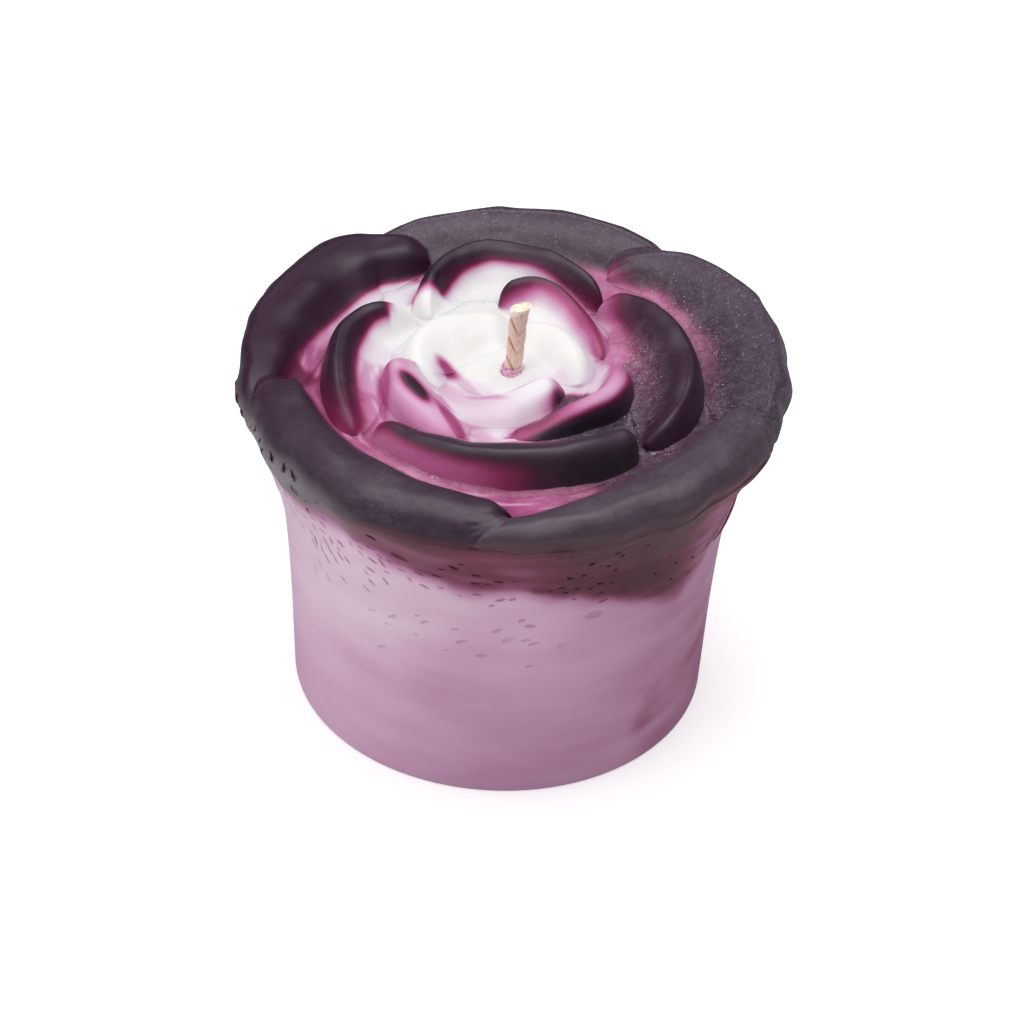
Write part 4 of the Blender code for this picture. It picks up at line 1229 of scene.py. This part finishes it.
def wax(name, dyes, mottle_mm, depth_mm):
    """Dyed wax, mottled in patches of this size, that light enters this deep."""
    material, add = new_material(name)
    place = add("ShaderNodeTexCoord").outputs["Object"]
    dye = mark_value(add, "dye")
    dust = mark_value(add, "dust")
    mottle = add("ShaderNodeTexNoise", {"Vector": place, "Scale": 0.5 / (mottle_mm * MM), "Detail": 5.0,
                                        "Roughness": 0.6})
    uneven = add("ShaderNodeMapRange", {"Value": mottle.outputs["Fac"], "To Min": -0.035, "To Max": 0.035})
    stirred = add("ShaderNodeMath", {0: dye, 1: uneven.outputs[0]}, operation="ADD")
    own_dye = dye_ramp(add, stirred.outputs[0], dyes)
    cup_dye = dye_ramp(add, stirred.outputs[0], CUP_DYES)
    dyed = blended(add, mark_value(add, "run"), own_dye, cup_dye)
    # A fine grey film where the dust lies: partly bloom on the wax, partly painted sheen on the dark lips.
    film_and_sheen_noise = add("ShaderNodeTexNoise", {"Vector": place, "Scale": 900.0, "Detail": 4.0, "Roughness": 0.7})
    film_and_sheen_share = add("ShaderNodeMapRange", {"Value": film_and_sheen_noise.outputs["Fac"], "From Min": 0.30, "From Max": 0.80,
                                            "To Max": 0.42})
    film_and_sheen_amount = add("ShaderNodeMath", {0: film_and_sheen_share.outputs[0], 1: dust}, operation="MULTIPLY")
    deep = add("ShaderNodeMapRange", {"Value": dye, "From Min": 0.50, "From Max": 0.72})
    film_and_sheen_colour = blended(add, deep.outputs[0], FILM_AND_SHEEN_ON_PALE, FILM_AND_SHEEN_ON_DARK)
    with_film_and_sheen = blended(add, film_and_sheen_amount.outputs[0], dyed, film_and_sheen_colour)
    # The pale grey layer: partly bloom on the wax, partly painted reflection.
    with_haze_and_sheen = blended(add, mark_value(add, "haze"), with_film_and_sheen, HAZE_AND_SHEEN_GREY)
    sparkle = 0
    for scale, fewest in ((2600.0, 0.86), (6000.0, 0.57)):
        cells = add("ShaderNodeTexVoronoi", {"Vector": place, "Scale": scale})
        inside = {"Value": cells.outputs["Distance"], "From Min": 0.34, "From Max": 0.20}
        speck = add("ShaderNodeMapRange", inside)
        chosen = add("ShaderNodeSeparateColor", {"Color": cells.outputs["Color"]})
        rare = add("ShaderNodeMapRange", {"Value": chosen.outputs[0], "From Min": fewest})
        specks = add("ShaderNodeMath", {0: speck.outputs[0], 1: rare.outputs[0]}, operation="MULTIPLY")
        sparkle = add("ShaderNodeMath", {0: specks.outputs[0], 1: sparkle}, operation="MAXIMUM").outputs[0]
    thick = add("ShaderNodeMapRange", {"Value": dust, "From Min": 0.20, "From Max": 0.78})
    dusty_specks = add("ShaderNodeMath", {0: sparkle, 1: thick.outputs[0]}, operation="MULTIPLY")
    coloured = blended(add, dusty_specks.outputs[0], with_haze_and_sheen, SPECK)
    skin = add("ShaderNodeTexNoise", {"Vector": place, "Scale": 1400.0, "Detail": 3.0})
    bump = add("ShaderNodeBump", {"Height": skin.outputs["Fac"], "Strength": 0.12, "Distance": 0.0001})
    gloss = add("ShaderNodeMapRange", {"Value": mottle.outputs["Fac"], "To Min": 0.36, "To Max": 0.50})
    shade_with(add, {
        "Base Color": coloured,
        "Roughness": gloss.outputs[0],
        "Normal": bump.outputs[0],
        "IOR": 1.40,
        "Subsurface Weight": 0.30,
        "Subsurface Radius": (1.0, 0.55, 0.75),
        "Subsurface Scale": depth_mm * MM,
    })
    return material


def settle(piece, material, slot, *nodes):
    """Gives the piece its wax, and puts it in the place of these nodes."""
    piece.data.materials.clear()
    piece.data.materials.append(material)
    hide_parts(*nodes)
    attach(piece, "root")


PETAL_SLOTS = {"outer": "plum_wax", "middle": "plum_wax", "inner": "pink_wax", "heart": "white_wax"}
flower_wax = wax("flower_wax", FLOWER_DYES, 3.0, 1.2)
cup_wax = wax("cup_wax", CUP_DYES, 6.0, 2.5)
settle(cup, cup_wax, "lilac_wax", "lilac_body")
settle(flower_floor, flower_wax, "magenta_wax", "flower_base")
settle(heart_pool, flower_wax, "white_wax", "flower_heart")
for node, piece in petals.items():
    slot = PETAL_SLOTS[node.split("_")[0]]
    settle(piece, flower_wax, "magenta_wax" if node == "inner_petal_back" else slot, node)

# The wick is a flat plait of waxed cotton, threaded up through the candle and leaning a little. Its strands
# cross off the middle. It was snipped off at a slant, so its end is pale, with the cores as dark dots.
PLAIT_LOW = 50.6
PLAIT_HALF = (1.20, 0.95)
PLAIT_STEP = 3.2
CROSSING = 0.28
LEFT_RUN = 2.7
RIGHT_RUN = 1.2
GROOVE_DEEP = 0.15
WICK_FOOT = np.array((0.35, 0.60))
WICK_LEAN = 0.050
CUT_MIDDLE = np.array((0.9, 0.6, 62.9))
CUT_SLOPE = (0.34, 0.10)
SPLAY = 0.22
SPLAY_FROM = 61.2
SPLAY_OVER = 2.2
WICK_ROWS = 220
END_ROWS = 14
FIBRES = 20

turn = np.linspace(0, math.tau, 121)[:, None]
share = np.concatenate([np.linspace(0, 1, WICK_ROWS), np.ones(END_ROWS)])[None, :]
inward = np.concatenate([np.ones(WICK_ROWS), np.linspace(0.96, 0, END_ROWS)])[None, :]
across = np.cos(turn)
cut_height = (
    CUT_MIDDLE[2]
    + CUT_SLOPE[0] * (across * PLAIT_HALF[0] * inward)
    + CUT_SLOPE[1] * np.sin(turn) * inward
)
height = PLAIT_LOW + (cut_height - PLAIT_LOW) * share
run = np.where(across < CROSSING, (CROSSING - across) / (1 + CROSSING) * LEFT_RUN,
               (across - CROSSING) / (1 - CROSSING) * RIGHT_RUN)
phase = (height - 52.2 - run) % PLAIT_STEP
from_groove = np.minimum(phase, PLAIT_STEP - phase)
steep = np.where(across < CROSSING, 0.42, 0.62)
groove = np.exp(-(from_groove * steep / 0.11) ** 2)
pillow = 0.07 * np.sin(math.pi * phase / PLAIT_STEP)
grow = (1 + pillow - GROOVE_DEEP * groove * (inward == 1)) * inward
splay = np.clip((height - SPLAY_FROM) / SPLAY_OVER, 0, 1) ** 2
sideways = PLAIT_HALF[0] * across * grow * (1 + SPLAY * splay)
x = WICK_FOOT[0] + (height - POOL_TOP) * WICK_LEAN + sideways + SPLAY * splay
y = WICK_FOOT[1] + PLAIT_HALF[1] * np.sin(turn) * grow
lumps = 0.07 * np.sin(across * inward * 9) * np.cos(np.sin(turn) * inward * 7)
height = height + np.where(inward < 1, lumps, 0)
points = np.stack(np.broadcast_arrays(x, y, height), 2)
points = np.concatenate([np.broadcast_to(points[:, :1].mean(axis=0), (len(turn), 1, 3)), points], 1)
# The grooves of the plait are darker brown, most on its left side.
groove_darkening = groove * (0.18 + 0.82 * soft_step(0.5 - 1.6 * (across + 0.15)))
fresh = soft_step(1.45 - (cut_height - height) / 0.75)
marks = {
    "groove": np.pad(np.broadcast_to(groove_darkening, height.shape), ((0, 0), (1, 0)), mode="edge"),
    "cut": np.pad(np.broadcast_to(fresh, height.shape), ((0, 0), (1, 0)), mode="edge"),
}
wick = shaped_grid("plaited_wick", points, marks)

chance = np.random.default_rng(11)
fibres = []
for fibre in range(FIBRES):
    bearing = chance.uniform(0, math.tau)
    spread = chance.uniform(0.4, 1.1)
    out = np.array((1.1 * math.cos(bearing), 0.8 * math.sin(bearing), 0.0))
    start = CUT_MIDDLE + spread * out + (0.2, 0, -0.1)
    start[2] += CUT_SLOPE[0] * (start[0] - CUT_MIDDLE[0])
    heading = np.array((math.cos(bearing) * 0.6 + 0.2, math.sin(bearing) * 0.4, chance.uniform(0.4, 1.0)))
    curl = np.array((chance.normal(), chance.normal(), chance.normal())) * 0.3
    share = np.linspace(0, 1, 7)[:, None]
    path = start + (heading / np.linalg.norm(heading) * share + curl * share**2) * chance.uniform(0.3, 0.8)
    piece = tube(f"fibre_{fibre}", path, np.linspace(0.030, 0.015, 7), 5)
    write_mark(piece, "groove", 0)
    write_mark(piece, "cut", 1)
    fibres.append(piece)
wick = joined("plaited_wick", [wick, *fibres])
bpy.ops.object.shade_smooth_by_angle(angle=math.radians(50))

cotton, add = new_material("waxed_cotton")
place = add("ShaderNodeTexCoord").outputs["Object"]
stretched = add("ShaderNodeMapping", {"Vector": place, "Scale": (1.0, 1.0, 0.25)})
threads = add("ShaderNodeTexNoise", {"Vector": stretched.outputs[0], "Scale": 5200.0, "Detail": 3.0})
between = {"Value": threads.outputs["Fac"], "From Min": 0.35, "From Max": 0.65}
thread_share = add("ShaderNodeMapRange", between)
strand_tan = blended(add, thread_share.outputs[0], (0.70, 0.50, 0.41, 1), (0.82, 0.64, 0.54, 1))
groove_darkened = blended(add, mark_value(add, "groove"), strand_tan, (0.42, 0.17, 0.07, 1))
dots = add("ShaderNodeTexVoronoi", {"Vector": place, "Scale": 1700.0})
dot = add("ShaderNodeMapRange", {"Value": dots.outputs["Distance"], "From Min": 0.34, "From Max": 0.18})
end_colour = blended(add, dot.outputs[0], (0.90, 0.82, 0.68, 1), (0.66, 0.42, 0.20, 1))
bump = add("ShaderNodeBump", {"Height": threads.outputs["Fac"], "Strength": 0.35, "Distance": 0.0001})
shade_with(add, {
    "Base Color": blended(add, mark_value(add, "cut"), groove_darkened, end_colour),
    "Roughness": 0.55,
    "Normal": bump.outputs[0],
    "Subsurface Weight": 0.2,
    "Subsurface Radius": (1.0, 0.7, 0.5),
    "Subsurface Scale": 0.0006,
})
settle(wick, cotton, "cotton_wick", "wick")

# Round the wick's foot the last wax set as a crumb, pink and bristly, where dye and cotton dust gathered.
CRUMB_BORE = 1.02
# The crumb's outline: radius, height.
CRUMB = (
    (CRUMB_BORE, 51.6), (1.04, 52.6), (1.12, 52.95), (1.32, 52.9), (1.55, 52.6), (1.75, 52.3),
    (1.90, 52.08), (2.05, 51.7), (1.6, 51.5), (CRUMB_BORE, 51.6),
)
BRISTLES = 110

steps = np.linspace(0, math.tau, 121)
scallop = 1.0 + 0.16 * np.sin(3 * steps + 1) + 0.10 * np.sin(7 * steps)
crumb_rows = through(CRUMB, np.linspace(0, 1, 44))
crumb_out = CRUMB_BORE + (crumb_rows[:, :1] - CRUMB_BORE) * scallop
crumb = shaped_grid("wax_crumb", np.stack([
    WICK_FOOT[0] + crumb_out * np.cos(steps),
    WICK_FOOT[1] + crumb_out * np.sin(steps),
    np.broadcast_to(crumb_rows[:, 1:], crumb_out.shape),
], 2))
x, y, z = places(crumb).T
lump = 1 + 0.10 * rough(x, y, z, 0.7, 9) + 0.12 * rough(x, y, z, 0.3, 10)
move_to(crumb, np.stack([
    WICK_FOOT[0] + (x - WICK_FOOT[0]) * lump,
    WICK_FOOT[1] + (y - WICK_FOOT[1]) * lump,
    POOL_TOP + (z - POOL_TOP) * (lump * 2 - 1),
], 1))
write_mark(crumb, "pale", 0.5 + 0.5 * rough(x, y, z, 0.5, 12))
bristles = []
for bristle in range(BRISTLES):
    bearing = chance.uniform(0, math.tau)
    out = np.array((math.cos(bearing), math.sin(bearing), 0.0))
    start = np.array((*WICK_FOOT, 52.15)) + out * chance.uniform(1.1, 1.9)
    heading = out + np.array((chance.normal() * 0.35, chance.normal() * 0.35, chance.uniform(0.1, 1.1)))
    share = np.linspace(0, 1, 5)[:, None]
    droop = (0, 0, 0.25) * share**2
    path = start + heading / np.linalg.norm(heading) * chance.uniform(0.35, 0.85) * share - droop
    piece = tube(f"bristle_{bristle}", path, np.linspace(0.07, 0.02, 5), 5)
    # The bristles on the left side come out paler than those on the right.
    write_mark(piece, "pale", chance.uniform(0.2, 1) ** (0.5 if out[0] < 0 else 1.1))
    bristles.append(piece)
crumb = joined("wax_crumb", [crumb, *bristles])
bpy.ops.object.shade_smooth()

crumb_wax, add = new_material("crumb_wax")
place = add("ShaderNodeTexCoord").outputs["Object"]
patches = add("ShaderNodeTexNoise", {"Vector": place, "Scale": 1500.0, "Detail": 4.0, "Roughness": 0.7})
patch_share = add("ShaderNodeMapRange", {"Value": patches.outputs["Fac"], "From Min": 0.30, "From Max": 0.70,
                                         "To Min": -0.3, "To Max": 0.3})
pale = {0: mark_value(add, "pale"), 1: patch_share.outputs[0]}
paled = add("ShaderNodeMath", pale, operation="ADD", use_clamp=True)
shade_with(add, {
    "Base Color": blended(add, paled.outputs[0], (0.46, 0.07, 0.26, 1), (0.88, 0.70, 0.80, 1)),
    "Roughness": 0.6,
    "Subsurface Weight": 0.3,
    "Subsurface Radius": (1.0, 0.6, 0.8),
    "Subsurface Scale": 0.0008,
})
settle(crumb, crumb_wax, "pink_wax", "wick_collar")

# The tab that holds the wick's foot is a stock pressing of tin plate, in the recess under the base.
tin, add = new_material("tin_plate")
place = add("ShaderNodeTexCoord").outputs["Object"]
scuffs = add("ShaderNodeTexNoise", {"Vector": place, "Scale": 700.0, "Detail": 3.0})
scuffed = add("ShaderNodeMapRange", {"Value": scuffs.outputs["Fac"], "To Min": 0.24, "To Max": 0.42})
shade_with(add, {
    "Base Color": (0.62, 0.62, 0.60, 1),
    "Metallic": 1.0,
    "Roughness": scuffed.outputs[0],
})
tab = bpy.data.objects["wick_tab"]
tab.data.materials.clear()
tab.data.materials.append(tin)
